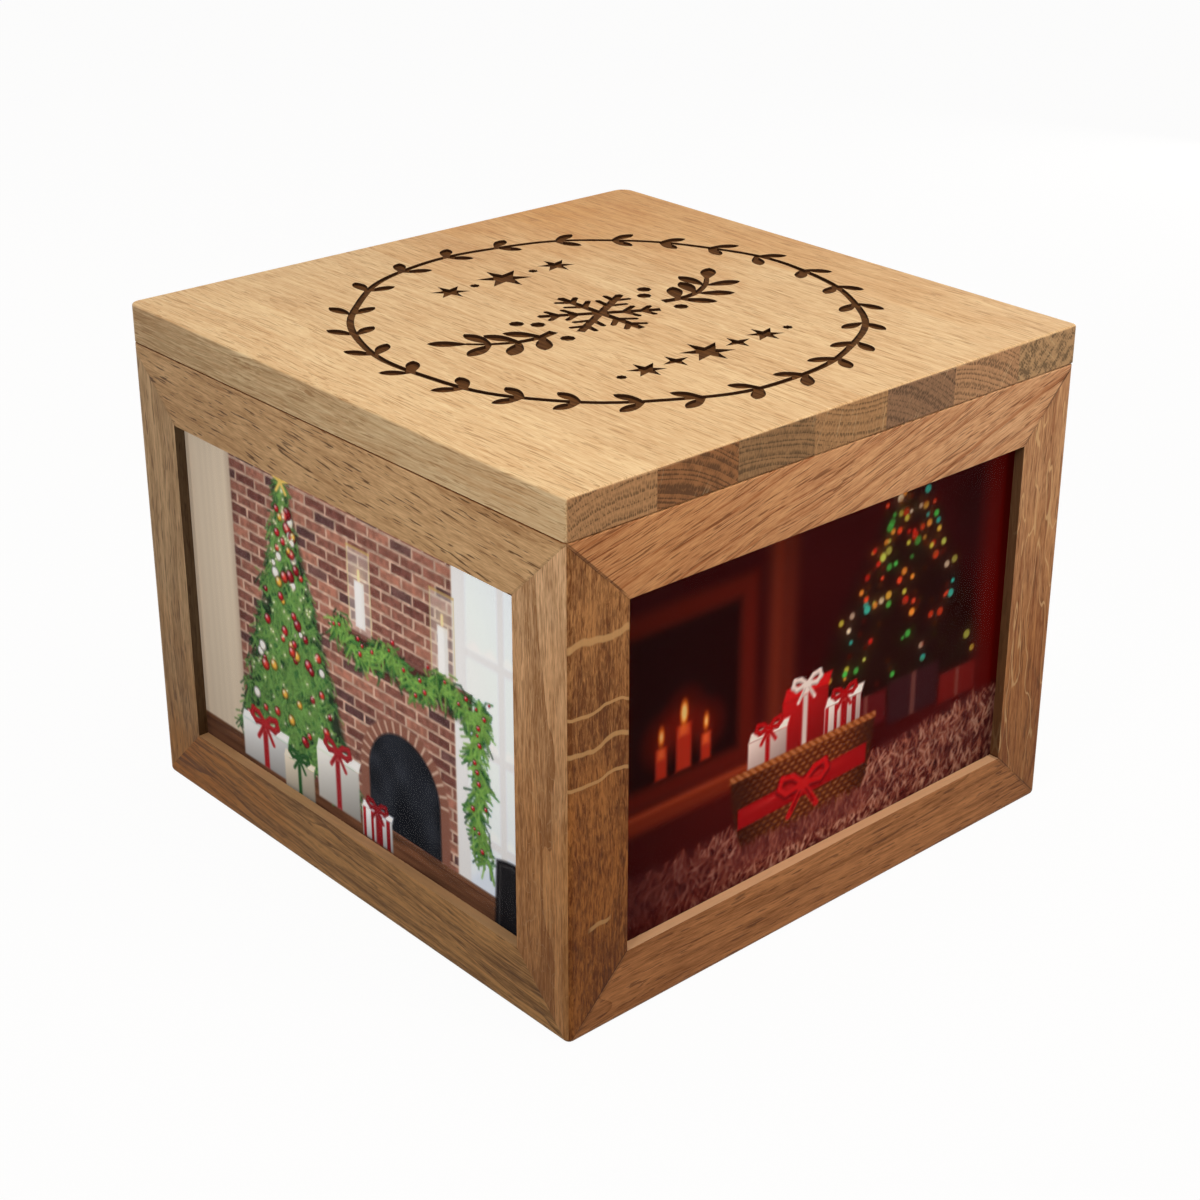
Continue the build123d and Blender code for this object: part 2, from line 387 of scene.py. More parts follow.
    # The pores are open: they dip by under 0.1 mm, and the fibres stand up a little
    relief = put("Math MULTIPLY_ADD", [dash, -1.0, fibre])[0]
    return {
        "Base Color": colour,
        "Roughness": put("MapRange", {0: fibre, 3: 0.46, 4: 0.6})[0],
        "IOR": 1.5,
        "Specular IOR Level": 0.15,
        "Normal": put("Bump", {"Height": relief, "Strength": 0.35, "Distance": 0.1 * MM})[0],
    }


def laser_burnt_oak(put):
    """Oak scorched by engraving. The floor is brown with its grain showing, the walls are char."""
    coords = put("TexCoord")
    wood = put("VectorMath MULTIPLY", [coords["Object"], (1 / 0.0008, 1 / 0.012, 1 / 0.001)])[0]
    fibre = put("TexNoise", {"Vector": wood, "Scale": 1.0, "Detail": 3.0})[0]
    floor = put("ValToRGB", [fibre], ((0.3, "#3d2410"), (0.55, "#5e3c1e"), (0.75, "#734c2a")))[0]
    wall = put("MapRange", [put("SeparateXYZ", [coords["Normal"]])[2], 0.9, 0.2])[0]
    return {
        "Base Color": put("Mix", {0: wall, 6: floor, 7: "#362010"}, **RGBA)[2],
        "Roughness": 0.8,
        "IOR": 1.5,
        "Specular IOR Level": 0.1,
        "Normal": put("Bump", {"Height": fibre, "Strength": 0.5, "Distance": 0.1 * MM})[0],
    }


# What differs from member to member, as the photograph shows it
MEMBER_LOOKS = {
    "left_top_rail": dict(
        light="#efc896", dark="#b4895c", pore="#5c3c1a", pore_size=(7.0, 0.6), pore_level=0.63,
        pores=0.9, slope=-4.0, mottle=0.2, bands=0.2, fibres=0.4, grit=0.5, streaks=0.3,
        mitre=0.2, rim=0.85,
    ),
    "left_right_stile": dict(
        light="#f8cea1", dark="#a3764b", pore="#81532c", ring=5.0, pith=(14.0, 90.0), fibres=0.6,
        fibre_size=(16.0, 0.7), streaks=0.4, grit=0.5, bands=0.5, pores=0.4, pore_size=(7.0, 0.6),
        flecks=0.25, fleck_size=(7.0, 3.0), mitre=0.0, amber=(0.75, 90.0, 20.0),
    ),
    "left_left_stile": dict(
        light="#e7c599", dark="#a6835c", fibres=0.5, fibre_size=(16.0, 0.7), streaks=0.5,
        grit=0.5, edge="#2a1a0d", mitre=0.2, amber=(1.0, 25.0, -25.0),
    ),
    "left_bottom_rail": dict(
        light="#ddaa6f", dark="#835b31", pore="#5a3a1c", ring=2.2, pith=(20.0, 70.0), lines=0.8,
        bands=0.6, slope=-3.0, streaks=0.9, streak_size=(60.0, 1.3), fibres=0.5,
        fibre_size=(18.0, 0.6), grit=0.4, edge="#c9a279", mitre=0.0, amber=(1.0, 20.0, -45.0),
    ),
    "front_top_rail": dict(
        light="#edc297", dark="#b98058", pore="#6f4020", slope=15.0, ring=5.0, pith=(60.0, 20.0),
        lines=0.9, pore_size=(11.0, 0.4), pore_level=0.585, pores=0.7, fibres=0.45, bands=0.3,
        fibre_size=(10.0, 0.45), grit=0.5, streaks=0.32, streak_size=(45.0, 1.0), mitre=0.7,
        amber=(0.62, 95.0, -25.0),
    ),
    "front_left_stile": dict(
        light="#c9935f", dark="#744624", ray="#dcae78", pore="#4f2d12", pore_size=(3.0, 0.7),
        pore_level=0.56, pores=0.35, mottle=0.5, bands=0.2, lines=0.1, fibres=0.9,
        fibre_size=(3.2, 0.8), curl=0.6, grit=0.5, mitre=0.85, amber=(0.75, 85.0, 15.0),
        ray_places=((40.5, 1.9, -9.5, 9.5), (22.5, 0.9, -9.5, 9.5), (13.0, 1.3, -9.5, 9.5),
                    (4.0, 1.0, -9.5, 9.5), (-35.5, 1.2, -3.5, 3.0)),
    ),
    "front_right_stile": dict(
        light="#d9ab7f", dark="#9c6947", flecks=0.8, fleck_size=(30.0, 5.0), fibres=0.5,
        fibre_size=(14.0, 0.7), grit=0.5, streaks=0.5, edge="#5c4028", amber=(0.7, 75.0, 10.0),
    ),
    "front_bottom_rail": dict(
        light="#e2a06b", dark="#9e6539", pore="#5f3619", ring=2.4, pith=(10.0, 80.0), lines=0.5,
        streaks=0.6, fibres=0.5, fibre_size=(14.0, 0.6), grit=0.4, edge="#f4c79d", mitre=0.3,
    ),
}

STAVE_LOOKS = [
    dict(
        light="#efd7ac", dark="#d1a97a", end="#c2966b", ring=2.6, pith=(8.0, 60.0), sawn=0.6
    ),
    dict(end="#a07049", ring=1.7, pith=(-26.0, 50.0), end_bands=0.65, blotches=2.4),
    dict(end="#a17e59", ring=1.6, pith=(-12.0, 60.0), end_bands=0.45, blotches=1.8),
    dict(end="#b88f65", ring=2.0, pith=(12.0, -70.0), amber=(0.3, -20.0, 125.0)),
    dict(end="#9a785c", ring=1.9, pith=(-30.0, 50.0), amber=(0.65, 45.0, 125.0)),
    dict(end="#c19771", ring=1.7, pith=(-20.0, 45.0), amber=(0.9, 20.0, 125.0)),
    dict(end="#ba9972", ring=3.4, pith=(60.0, 60.0), amber=(0.75, -60.0, 115.0), blotches=4.6),
]
LID_LOOK = dict(
    light="#ead1a6", dark="#caa173", pore="#9a6c3c", pores=0.5, pore_size=(9.0, 0.45),
    pore_level=0.6, bands=0.15, lines=0.15, fibres=0.3, fibre_size=(14.0, 0.6), streaks=0.4,
    streak_size=(45.0, 1.3), grit=0.4, mottle=0.15,
)


def dress_frames():
    """Gives each of the 16 frame members its own oak, with the grain running along it."""
    for side, turn in SIDE_TURNS.items():
        spin = turned(side)
        outwards = dict(
            top_rail=Z, bottom_rail=-Z, left_stile=spin @ -X, right_stile=spin @ X
        )
        for number, (member, outward) in enumerate(outwards.items()):
            node = f"{side}_{member}"
            grain = Z if "stile" in member else spin @ X
            name = f"sawn oak, {side} {member.replace('_', ' ')}"
            about = (node, grain, spin @ -Y, 10 * turn + number, outward)
            repaint(node, new_material(name, oak, *about, **MEMBER_LOOKS.get(node, {})))


# ---------------------------------------------------------------- the carved lid

# Places on the lid are complex numbers: mm to the right, and mm to the back times 1j
WREATH_CENTRE = 1.5 - 1.3j
WREATH_RADIUS = 68.1
VINE_STEPS = 144              # round the ring
VINE_PIECE = 12               # steps in each of its pieces
LEAF_BEARINGS = (47.5, 35.4, 22.6, 9.5, -5.8, -19.9, -33.4, -47.2, -60.6, -72.3, -85.3, -98.3,
                 -111.5, -124.2, -137.1, -148.9, -161.9, -177.0, 169.0, 154.9, 140.7, 123.5,
                 107.2, 91.7, 77.2, 61.5)
LEAF_LENGTH = 8.9
LEAF_WIDTH = 3.6
LEAF_SPREAD = 42.0
TWIG = np.array([19.5 - 3.6j, 25.5 - 4.8j, 32.0 - 3.8j, 38.5 - 0.4j, 43.0 + 3.6j])
TWIG_LEAF = (11.0, 4.4)       # length and width
BERRIES = (19.0 + 3.4j, 22.8 + 7.6j, 20.2 - 10.0j)
VINE_WIDTH = 2.0
CARVING_DEPTH = 0.8
CUTTER_STEP = 0.004
SEAM_HEIGHT = 0.4             # the fine open line between lid and box
SEAM_DEPTH = 0.9
SEAM_CORNER = 3.4


def leaf_outline(base, heading, length, width):
    """A teardrop, narrow at its base and round at its tip."""
    t = np.arange(1, 14) / 14
    half = 0.5 * width * np.sin(np.pi * t**1.4) ** 0.7 + 0.12 * (1 - t)
    right, left = t * length - 1j * half, t * length + 1j * half
    return base + cmath.rect(1, heading) * np.concatenate([[0], right, [length], left[::-1]])


def stroke_outline(points, widths):
    """A pen stroke along a smooth line, its width running through the given widths."""
    last = len(points) - 1
    t = np.linspace(0, last, 61)
    start = np.minimum(t.astype(int), last - 1)
    f = t - start
    p0, p1, p2, p3 = (points[np.clip(start + step, 0, last)] for step in (-1, 0, 1, 2))
    bend, twist = 2 * p0 - 5 * p1 + 4 * p2 - p3, 3 * p1 - p0 - 3 * p2 + p3
    line = 0.5 * (2 * p1 + (p2 - p0) * f + bend * f**2 + twist * f**3)
    padded = np.pad(line, 1, mode="edge")
    ahead = padded[2:] - padded[:-2]
    half = 0.5 * np.interp(t, np.linspace(0, last, len(widths)), widths)
    aside = 1j * ahead / abs(ahead) * half
    return np.concatenate([line - aside, (line + aside)[::-1]])


def star_outline(centre, outer, inner, points):
    """A star with one point to the back of the lid."""
    bearings = np.pi * (0.5 + np.arange(2 * points) / points)
    return centre + np.tile([outer, inner], points) * np.exp(1j * bearings)


def bar_outline(start, end, start_width, end_width):
    """A bar with a blunt point."""
    ahead = (end - start) / abs(end - start)
    aside = 0.5j * ahead
    tip = [end - aside * end_width, end + ahead * end_width / 3, end + aside * end_width]
    return np.array([start - aside * start_width, *tip, start + aside * start_width])


def carving_outlines():
    """Every carved shape on the lid, in lists of outlines. Those in one list don't overlap."""
    rng = np.random.default_rng(5)
    bearings = 2 * np.pi * np.arange(VINE_STEPS + 1) / VINE_STEPS
    reach = WREATH_RADIUS + 0.35 * np.sin(7 * bearings + 1) + 0.25 * np.sin(13 * bearings)
    inside, outside = (
        WREATH_CENTRE + (reach + side * VINE_WIDTH / 2) * np.exp(1j * bearings) for side in (-1, 1)
    )
    vine = []
    for first in range(0, VINE_STEPS, VINE_PIECE):
        piece = slice(first, first + VINE_PIECE + 1)
        vine.append(np.concatenate([inside[piece][::-1], outside[piece]]))
    outer_leaves, inner_leaves = [], []
    for bearing in np.radians(LEAF_BEARINGS):
        base = WREATH_CENTRE + cmath.rect(WREATH_RADIUS, bearing)
        for leaves, side in ((outer_leaves, 1), (inner_leaves, -1)):
            heading = bearing - math.pi / 2 + side * math.radians(LEAF_SPREAD + rng.uniform(-4, 4))
            length = LEAF_LENGTH * rng.uniform(0.93, 1.05)
            leaves.append(leaf_outline(base, heading, length, LEAF_WIDTH))
    groups = [vine[0::2], vine[1::2], outer_leaves, inner_leaves]

    # A snowflake in the middle, with a leafy twig and berries on each side of it
    ways = np.exp(1j * np.radians(np.arange(30, 390, 60)))
    groups += [[bar_outline(-16.5 * way, 16.5 * way, 2.4, 2.4)] for way in ways[:3]]
    for reach, length in ((6.5, 5.4), (11.5, 4.6)):
        for lean in (52, -52):
            arm = reach + cmath.rect(length, math.radians(lean))
            groups.append([bar_outline(way * reach, way * arm, 2.0, 1.6) for way in ways])
    leaves = [[], [], [], []]
    for number, (base, heading) in enumerate(
        ((24.0 - 4.7j, 0), (31.2 - 4.1j, 14), (38.0 - 0.8j, 34))
    ):
        for side, swing in enumerate((54, -52)):
            leaf = leaf_outline(base, math.radians(heading + swing), *TWIG_LEAF)
            leaves[number % 2 + 2 * side].append(leaf)
    right_hand = [
        [stroke_outline(TWIG, (3.0, 2.4, 1.8, 1.4))],
        *leaves,
        [leaf_outline(42.3 + 2.9j, math.radians(42), *TWIG_LEAF)],
        [star_outline(berry, 2.1, 1.9, 8) for berry in BERRIES],
    ]
    groups += right_hand + [[-np.conj(outline) for outline in group] for group in right_hand]

    # Stars and dots in a row above and below the snowflake
    for y, inner, points, marks in (
        (40.5, 0.4, 6, ((-19, 5.6), (0, 8.0), (19, 5.6))),
        (40.5, 0.8, 8, ((-10.5, 1.5), (10.5, 1.5))),
        (-41, 0.4, 6, ((-21, 5.4), (0, 7.6), (21, 5.4))),
        (-41, 1.5 / 4.4, 4, ((-11, 4.4), (11, 4.4))),
        (-41, 0.8, 8, ((-29.5, 1.5), (29.5, 1.5))),
    ):
        groups.append([star_outline(complex(x, y), size, size * inner, points) for x, size in marks])
    return groups


def prism_mesh(name, outlines, low, high):
    """Upright prisms over outlines, each a closed shell facing outwards."""
    vertices, faces = [], []
    for outline in outlines:
        if np.sum(np.conj(outline) * np.roll(outline, -1)).imag < 0:
            outline = outline[::-1]
        bottom = len(vertices) + np.arange(len(outline))
        top = bottom + len(outline)
        vertices += [(p.real, p.imag, height) for height in (low, high) for p in outline]
        faces += [bottom[::-1].tolist(), top.tolist(), *band(bottom, top)]
    return new_mesh(name, vertices, faces)


def cut(piece, operation, *shapes):
    """Joins shapes to a piece, or takes them from it, for good."""
    for shape in shapes:
        step = piece.modifiers.new(shape.name, "BOOLEAN")
        step.operation, step.solver, step.object = operation, "EXACT", shape
    graph = bpy.context.evaluated_depsgraph_get()
    mesh = bpy.data.meshes.new_from_object(piece.evaluated_get(graph))
    piece.modifiers.clear()
    old, piece.data = piece.data, mesh
    bpy.data.meshes.remove(old)


def seam_cutter():
    """What is taken from the lid's lower edge, so that a fine line stays open above the box."""
    low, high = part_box("lid_stave_1")[0].z / MM, cad_high[0] / MM
    inner = high - SEAM_DEPTH - SEAM_CORNER
    corner = inner * (1 + 1j) + SEAM_CORNER * np.exp(1j * np.radians(np.arange(0, 91, 15)))
    outline = np.concatenate([corner * 1j**quarter for quarter in range(4)])
    square = np.array([(high + 3) * (1 + 1j) * 1j**quarter for quarter in range(4)])
    slab = prism_mesh("seam", [square], low - 1.0, low + SEAM_HEIGHT)
    core = prism_mesh("core", [outline], low - 2.0, low + SEAM_HEIGHT + 1.0)
    cut(slab, "DIFFERENCE", core)
    bpy.data.objects.remove(core)
    return slab


def carve_lid():
    """Replaces the lid's staves by copies with the design cut into their top."""
    burnt_and_seam_shade = new_material("laser-burnt oak", laser_burnt_oak)
    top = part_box("lid_stave_4")[1].z / MM
    shapes = []
    for number, outlines in enumerate(carving_outlines()):
        # A hair deeper and higher each time, so that no two cutters share a plane
        low = top - CARVING_DEPTH - CUTTER_STEP * number
        high = top + 1.0 + CUTTER_STEP * number
        shapes.append(prism_mesh(f"cutter_{number}", outlines, low, high))
    for shape in shapes[1:]:
        cut(shapes[0], "UNION", shape)
        bpy.data.objects.remove(shape)
    # Their cut faces take the burnt oak: char in the carving, painted shade in the seam under the lid
    cutters = (shapes[0], seam_cutter())
    for shape in cutters:
        shape.data.materials.clear()
        shape.data.materials.append(None)
        shape.data.materials.append(burnt_and_seam_shade)
        shape.data.polygons.foreach_set("material_index", [1] * len(shape.data.polygons))

    for number, look in enumerate(STAVE_LOOKS, start=1):
        node = f"lid_stave_{number}"
        piece = new_object(f"carved_stave_{number}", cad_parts[node].data.copy())
        name = f"planed oak, lid stave {number}"
        wood = new_material(name, oak, node, Y, Z, 500 + number, **{**LID_LOOK, **look})
        piece.data.materials.clear()
        piece.data.materials.append(wood)
        piece.data.materials.append(burnt_and_seam_shade)
        cut(piece, "DIFFERENCE", *cutters)
        fit(piece, "lid", node)
    for shape in cutters:
        bpy.data.objects.remove(shape)


# ---------------------------------------------------------------- the prints

PRINT_LENGTH = 152.4
PRINT_HEIGHT = 101.6
PRINT_THICKNESS = 0.3
PRINT_DEPTH = 4.5             # from the box's face to the front of a print
PANE_GAP = 0.05               # air between a pane and its print
PRINT_CELL = 0.42
PRINT_SIZE = (PRINT_LENGTH, PRINT_HEIGHT)

# The place of every dot of a print, in mm from its lower left corner. As complex numbers, these
# are across plus up times 1j.
ACROSS, UP = np.meshgrid(
    *(np.linspace(0, size, round(size / PRINT_CELL) + 1) for size in PRINT_SIZE)
)
DOTS = ACROSS + 1j * UP

BOW_LOOP = np.array([0, 0.5 + 0.42j, 1.0 + 0.5j, 1.12 + 0.15j, 0.8 - 0.12j, 0.3 - 0.05j, 0])
BRICK = (9.0, 3.2)            # mm at the print's scale
DAB_BLUR = 0.6
CANE = 1.5                    # mm from one cane of the basket to the next
FIR_GREENS = ("#1b3320", "#2a4f2b", "#44713a", "#6d9449")
SWAG_GREENS = ("#1f3a22", "#2f5a2e", "#4a7a38", "#7ba24a")
TWIG_GREENS = ("#16301c", "#24512c", "#3f7a3c", "#78a85a")
DISCS = ("#d8e04a", "#ffb03a", "#f4efc8", "#ff5a2a", "#4ed552", "#3fd6bd", "#ffd94a", "#e8301e",
         "#c8e05a")


def lay(ink, cover, colour):
    """Lays a colour over the ink, as thickly as cover says."""
    ink += (rgb(colour) - ink) * np.clip(cover, 0, 1)[..., None]


def edge(distance, blur=0.7):
    """1 inside a shape, where the distance is below 0, to 0 outside it."""
    return np.clip(0.5 - distance / blur, 0, 1)


def oblong(left, right, bottom, top, blur=0.7, across=ACROSS):
    """Cover of an upright rectangle."""
    sides = np.maximum(left - across, across - right)
    return edge(np.maximum(sides, np.maximum(bottom - UP, UP - top)), blur)


def lay_oblongs(ink, *rows):
    """Lays upright rectangles, each given as its strength, colour, sides and blur."""
    for strength, colour, *sides in rows:
        lay(ink, strength * oblong(*sides), colour)


def cloud(rng, size, wide=1.0, tall=1.0):
    """Smooth noise from 0 to 1, in lumps of about size mm."""
    x, y = ACROSS * wide / size, UP * tall / size
    lattice = rng.random((int(y.max()) + 3, int(x.max()) + 3))
    i, j = np.floor(y).astype(int), np.floor(x).astype(int)
    fy, fx = y - i, x - j
    fy, fx = fy * fy * (3 - 2 * fy), fx * fx * (3 - 2 * fx)
    low = lattice[i, j] * (1 - fx) + lattice[i, j + 1] * fx
    high = lattice[i + 1, j] * (1 - fx) + lattice[i + 1, j + 1] * fx
    return low * (1 - fy) + high * fy


def jitter(rng, across, up):
    """A small random step."""
    return complex(rng.normal(0, across), rng.normal(0, up))


def in_cone(rng, middle, tip, lean, low, high, more=0):
    """A random place in a tree's outline, between two heights."""
    y = rng.uniform(low, high)
    reach = (tip - y) * lean + more
    return complex(middle + rng.uniform(-reach, reach), y)


def dab(ink, start, end, width, colour, strength=1.0):
    """One brush dab: a soft line between two points."""
    spans = []
    for ends in ((start.imag, end.imag), (start.real, end.real)):
        first = int((min(ends) - width - DAB_BLUR) / PRINT_CELL)
        last = int((max(ends) + width + DAB_BLUR) / PRINT_CELL) + 2
        spans.append(slice(max(first, 0), max(last, 0)))
    window = ink[tuple(spans)]
    up, across = (span.start + np.arange(n) for span, n in zip(spans, window.shape))
    away = (across + 1j * up[:, None]) * PRINT_CELL - start
    line = end - start
    along = np.clip((away * line.conjugate()).real / max(abs(line) ** 2, 1e-9), 0, 1)
    distance = abs(away - along * line) - width / 2
    window += (rgb(colour) - window) * (strength * edge(distance, DAB_BLUR))[..., None]


def ball(ink, centre, radius, colour):
    """A glossy bauble or berry: darker at its rim, with a bright spot."""
    away = abs(DOTS - centre)
    lit = np.clip(1.15 - 0.75 * (away / radius) ** 2, 0.3, 1.2)[..., None]
    lay(ink, edge(away - radius, 0.5), np.clip(rgb(colour) * lit, 0, 1))
    spot = abs(DOTS - centre + (0.35 - 0.35j) * radius)
    lay(ink, 0.8 * edge(spot - 0.25 * radius, 0.6 * radius), "#ffffff")


def foliage(ink, rng, places, colours, length, droop, width, spread):
    """Needles or leaves about each place, the dark ones first."""
    for tone in colours:
        for place in places:
            for _ in range(3):
                start = place + jitter(rng, spread, spread)
                swing = rng.uniform(0, 2 * math.pi)
                reach = length * rng.uniform(0.5, 1.0)
                tip = reach * complex(math.cos(swing), 0.8 * (math.sin(swing) + droop))
                dab(ink, start, start + tip, width, rgb(tone) * rng.uniform(0.8, 1.15), 0.85)


def bricks(ink, rng, cover):
    """Old red bricks in pale mortar."""
    length, height = BRICK
    course = np.floor(UP / height).astype(int)
    shifted = ACROSS + length / 2 * (course % 2) + 0.25 * np.sin(course * 2.3)
    column = np.floor(shifted / length).astype(int)
    tone, tint = (
        rng.random((course.max() + 2, column.max() + 2))[course, column] for _ in range(2)
    )
    face = rgb("#6b4038") + (rgb("#a9705a") - rgb("#6b4038")) * tone[..., None]
    lay(face, 0.6 * (tint > 0.82), "#4a3638")
    face *= (0.86 + 0.28 * cloud(rng, 1.3))[..., None]
    in_from_edge = np.minimum(
        np.minimum(shifted % length, length - shifted % length),
        np.minimum(UP % height, height - UP % height),
    ) + 0.25 * (cloud(rng, 0.9) - 0.5)
    mortar = rgb("#c9a58c") * (0.85 + 0.25 * cloud(rng, 2.0))[..., None]
    lay(face, edge(in_from_edge - 0.36, 0.4), mortar)
    lay(ink, cover, face)


def ribbon_bow(ink, knot, size, colour, shade):
    """A tied bow: two loops and two tails."""
    for side in (-1, 1):
        loop = knot + size * (side * BOW_LOOP.real + 1j * BOW_LOOP.imag)
        for lift, width, tone in ((0, 0.34, shade), (0.06j, 0.2, colour)):
            for start, end in zip(loop, loop[1:]):
                dab(ink, start + lift * size, end + lift * size, width * size, tone)
        dab(ink, knot, knot + size * complex(0.65 * side, -0.95), 0.26 * size, colour)
        dab(ink, knot, knot + size * complex(0.5 * side, -0.8), 0.08 * size, shade)
    dab(ink, knot - 0.1 * size, knot + 0.1 * size, 0.4 * size, colour)


def parcel(ink, x, y, width, height, paper, ribbon, stripes=False):
    """A wrapped box seen from the front, with its top face, ribbon and bow."""
    top, lid = y + height, 0.22 * height
    fade = (0.72 + 0.32 * (UP - y) / height) * (1.04 - 0.2 * (ACROSS - x) / width)
    fade = np.clip(fade, 0.4, 1.1)[..., None]
    tone = rgb(paper) * fade
    if stripes:
        tone = np.where(((ACROSS % 3.4) < 1.5)[..., None], rgb("#b3262c") * fade, tone)
    lay(ink, oblong(x, x + width, y, top), np.clip(tone, 0, 1))
    slanted = ACROSS - 0.35 * (UP - top)
    lay(ink, oblong(x, x + width, top, top + lid, across=slanted), np.clip(1.1 * rgb(paper), 0, 1))
    left, right = x + 0.445 * width, x + 0.555 * width
    lay(ink, oblong(left, right, y, top), 0.92 * rgb(ribbon))
    lay(ink, oblong(left, right, top, top + lid, across=slanted), ribbon)
    knot = complex(x + 0.5 * width + 0.1 * lid, top + 0.75 * lid)
    ribbon_bow(ink, knot, 0.2 * width + 1.2, ribbon, 0.8 * rgb(ribbon))


def daylight_room(ink, rng):
    """A bright room: brick wall, tree, shelf with lamps and a swag, parcels and a tall window."""
    ink += rgb("#dfc9ab")
    folds = 0.5 + 0.5 * np.sin(ACROSS * 1.9 + 1.2 * np.sin(ACROSS * 0.5) + 0.04 * UP)
    lay(ink, 0.12 * folds * (ACROSS < 30), "#b9a48c")
    bricks(ink, rng, oblong(24, 119, -5, 120, 0.8))
    lay(ink, 0.35 * edge(abs(ACROSS - 24) - 0.5, 5.0), "#5a3a2e")

    # Tall window with snow light, in white bars, and a pale curtain beyond it
    lay(ink, oblong(119, 160, -5, 120), "#efe9e0")
    for left in (124, 138.5):
        for bottom in (2, 27, 52, 77):
            pane = oblong(left, left + 12, bottom, bottom + 22.5, 0.8)
            lay(ink, pane, "#f6f8fa")
            lay(ink, 0.25 * pane * edge(UP - 14 - 4 * np.sin(ACROSS * 0.25), 3.0), "#b9c6cf")
            lay(ink, pane * edge(UP - bottom - 1.5 - np.sin(ACROSS), 1.5), "#ffffff")
    folds = 0.5 + 0.5 * np.sin(ACROSS * 2.4 + np.sin(UP * 0.05))
    lay(ink, 0.3 * folds * edge(124 - ACROSS, 2) * edge(ACROSS - 124, 2), "#cdbfae")

    # Floorboards
    boards = rgb("#6d4630") * (0.8 + 0.35 * cloud(rng, 2.5, 0.3, 2))[..., None]
    lay(ink, oblong(-5, 160, -5, 11), boards)
    for line in (3.0, 6.5, 9.2):
        lay(ink, 0.6 * edge(abs(UP - line) - 0.12, 0.4), "#38211a")

    # Dark beam on the wall with lamps, a dark doorway below it
    arch = 12 * (np.hypot((ACROSS - 97) / 15.0, np.maximum(UP - 26, 0) / 15.0) - 1)
    lay(ink, edge(arch - 3.0, 0.8) * (UP > 11), "#8b5a48")
    joints = edge(abs(np.angle(DOTS - 97 - 26j) * 9 % 1.7 - 0.85) - 0.2, 0.3)
    lay(ink, joints * edge(abs(arch - 1.5) - 1.4, 0.5) * (UP > 26), "#c9a58c")
    lay(ink, edge(arch, 0.8) * (UP > 11), "#15161a")
    lay(ink, edge(arch, 0.8) * (UP > 11) * 0.5 * cloud(rng, 6) ** 2, "#4c5058")
    lay_oblongs(
        ink,
        (1, "#4d2c26", 71, 126, 58, 64.5),
        (1, "#7c5145", 71, 126, 63.2, 64.5),
        (0.5, "#2a1714", 73, 124, 55.5, 58, 2.5),
    )

    # Two glass lamps with candles
    for x in (81.0, 115.0):
        left, right = x - 4.6, x + 4.6
        lay(ink, 0.35 * oblong(left, right, 64.5, 88.0, 0.6), "#f7efe0")
        for side in (left, right):
            dab(ink, side + 64.5j, side + 88j, 0.4, "#d6c091")
        dab(ink, left + 88j, right + 88j, 0.5, "#c9a45c")
        lay_oblongs(
            ink,
            (1, "#f6f1e8", x - 2.0, x + 2.0, 66.0, 79.0, 0.6),
            (0.35, "#c9bda8", x + 0.6, x + 2.0, 66.0, 79.0, 0.8),
        )
        dab(ink, x + 79.6j, x + 82.0j, 0.9, "#ffdf9a")
        lay(ink, 0.45 * edge(abs(DOTS - x - 81j) - 1.5, 6.0), "#ffe6b0")

    # Swag along the beam, hanging lower between the lamps
    swag = []
    for x in np.arange(69, 131, 0.9):
        dip = 5.0 * math.sin((x - 71) / 55 * math.pi * 2.5) ** 2
        swag.append(complex(x, 63.5 - dip + rng.normal(0, 1.2)))
    for y in np.arange(20, 64, 0.9):
        swag.append(complex(128 + 1.5 * math.sin(y * 0.35) + rng.normal(0, 0.6), y))
    foliage(ink, rng, swag, SWAG_GREENS, length=4.4, droop=-0.6, width=0.62, spread=1.2)
    for place in swag[::4]:
        ball(ink, place + jitter(rng, 1.8, 1.8), rng.uniform(0.5, 0.9), "#b8282a")

    # The tree
    tiers = []
    for y in np.arange(14, 96, 1.15):
        reach = (97 - y) * 0.33 * (0.86 + 0.2 * math.sin(y * 0.9))
        for _ in range(max(int(reach * 0.75), 2)):
            tiers.append(complex(48 + rng.uniform(-reach, reach), y + rng.normal(0, 0.8)))
    shadow = edge(abs(ACROSS - 49) - (97 - UP) * 0.33, 3.0) * (UP > 13) * (UP < 97)
    lay(ink, 0.85 * shadow, "#16291a")
    foliage(ink, rng, tiers, FIR_GREENS, length=3.4, droop=-0.9, width=0.5, spread=1.0)
    for _ in range(70):
        place = in_cone(rng, 48, 97, 0.3, 16, 92)
        kind = rng.choice(("#b3262a", "#c23a2c", "#d9a441", "#efe6d2", "#8e1d22"))
        ball(ink, place, rng.uniform(0.9, 1.9), kind)
    for _ in range(90):
        away = abs(DOTS - in_cone(rng, 48, 97, 0.32, 16, 95))
        lay(ink, 0.5 * edge(away - 0.3, 2.4), "#ffe3a6")
        lay(ink, edge(away - 0.25, 0.5), "#fff6dc")
    for i in range(5):
        dab(ink, 48 + 96j, 48 + 96j + cmath.rect(3.6, math.radians(90 + 72 * i)), 1.1, "#e8c263")

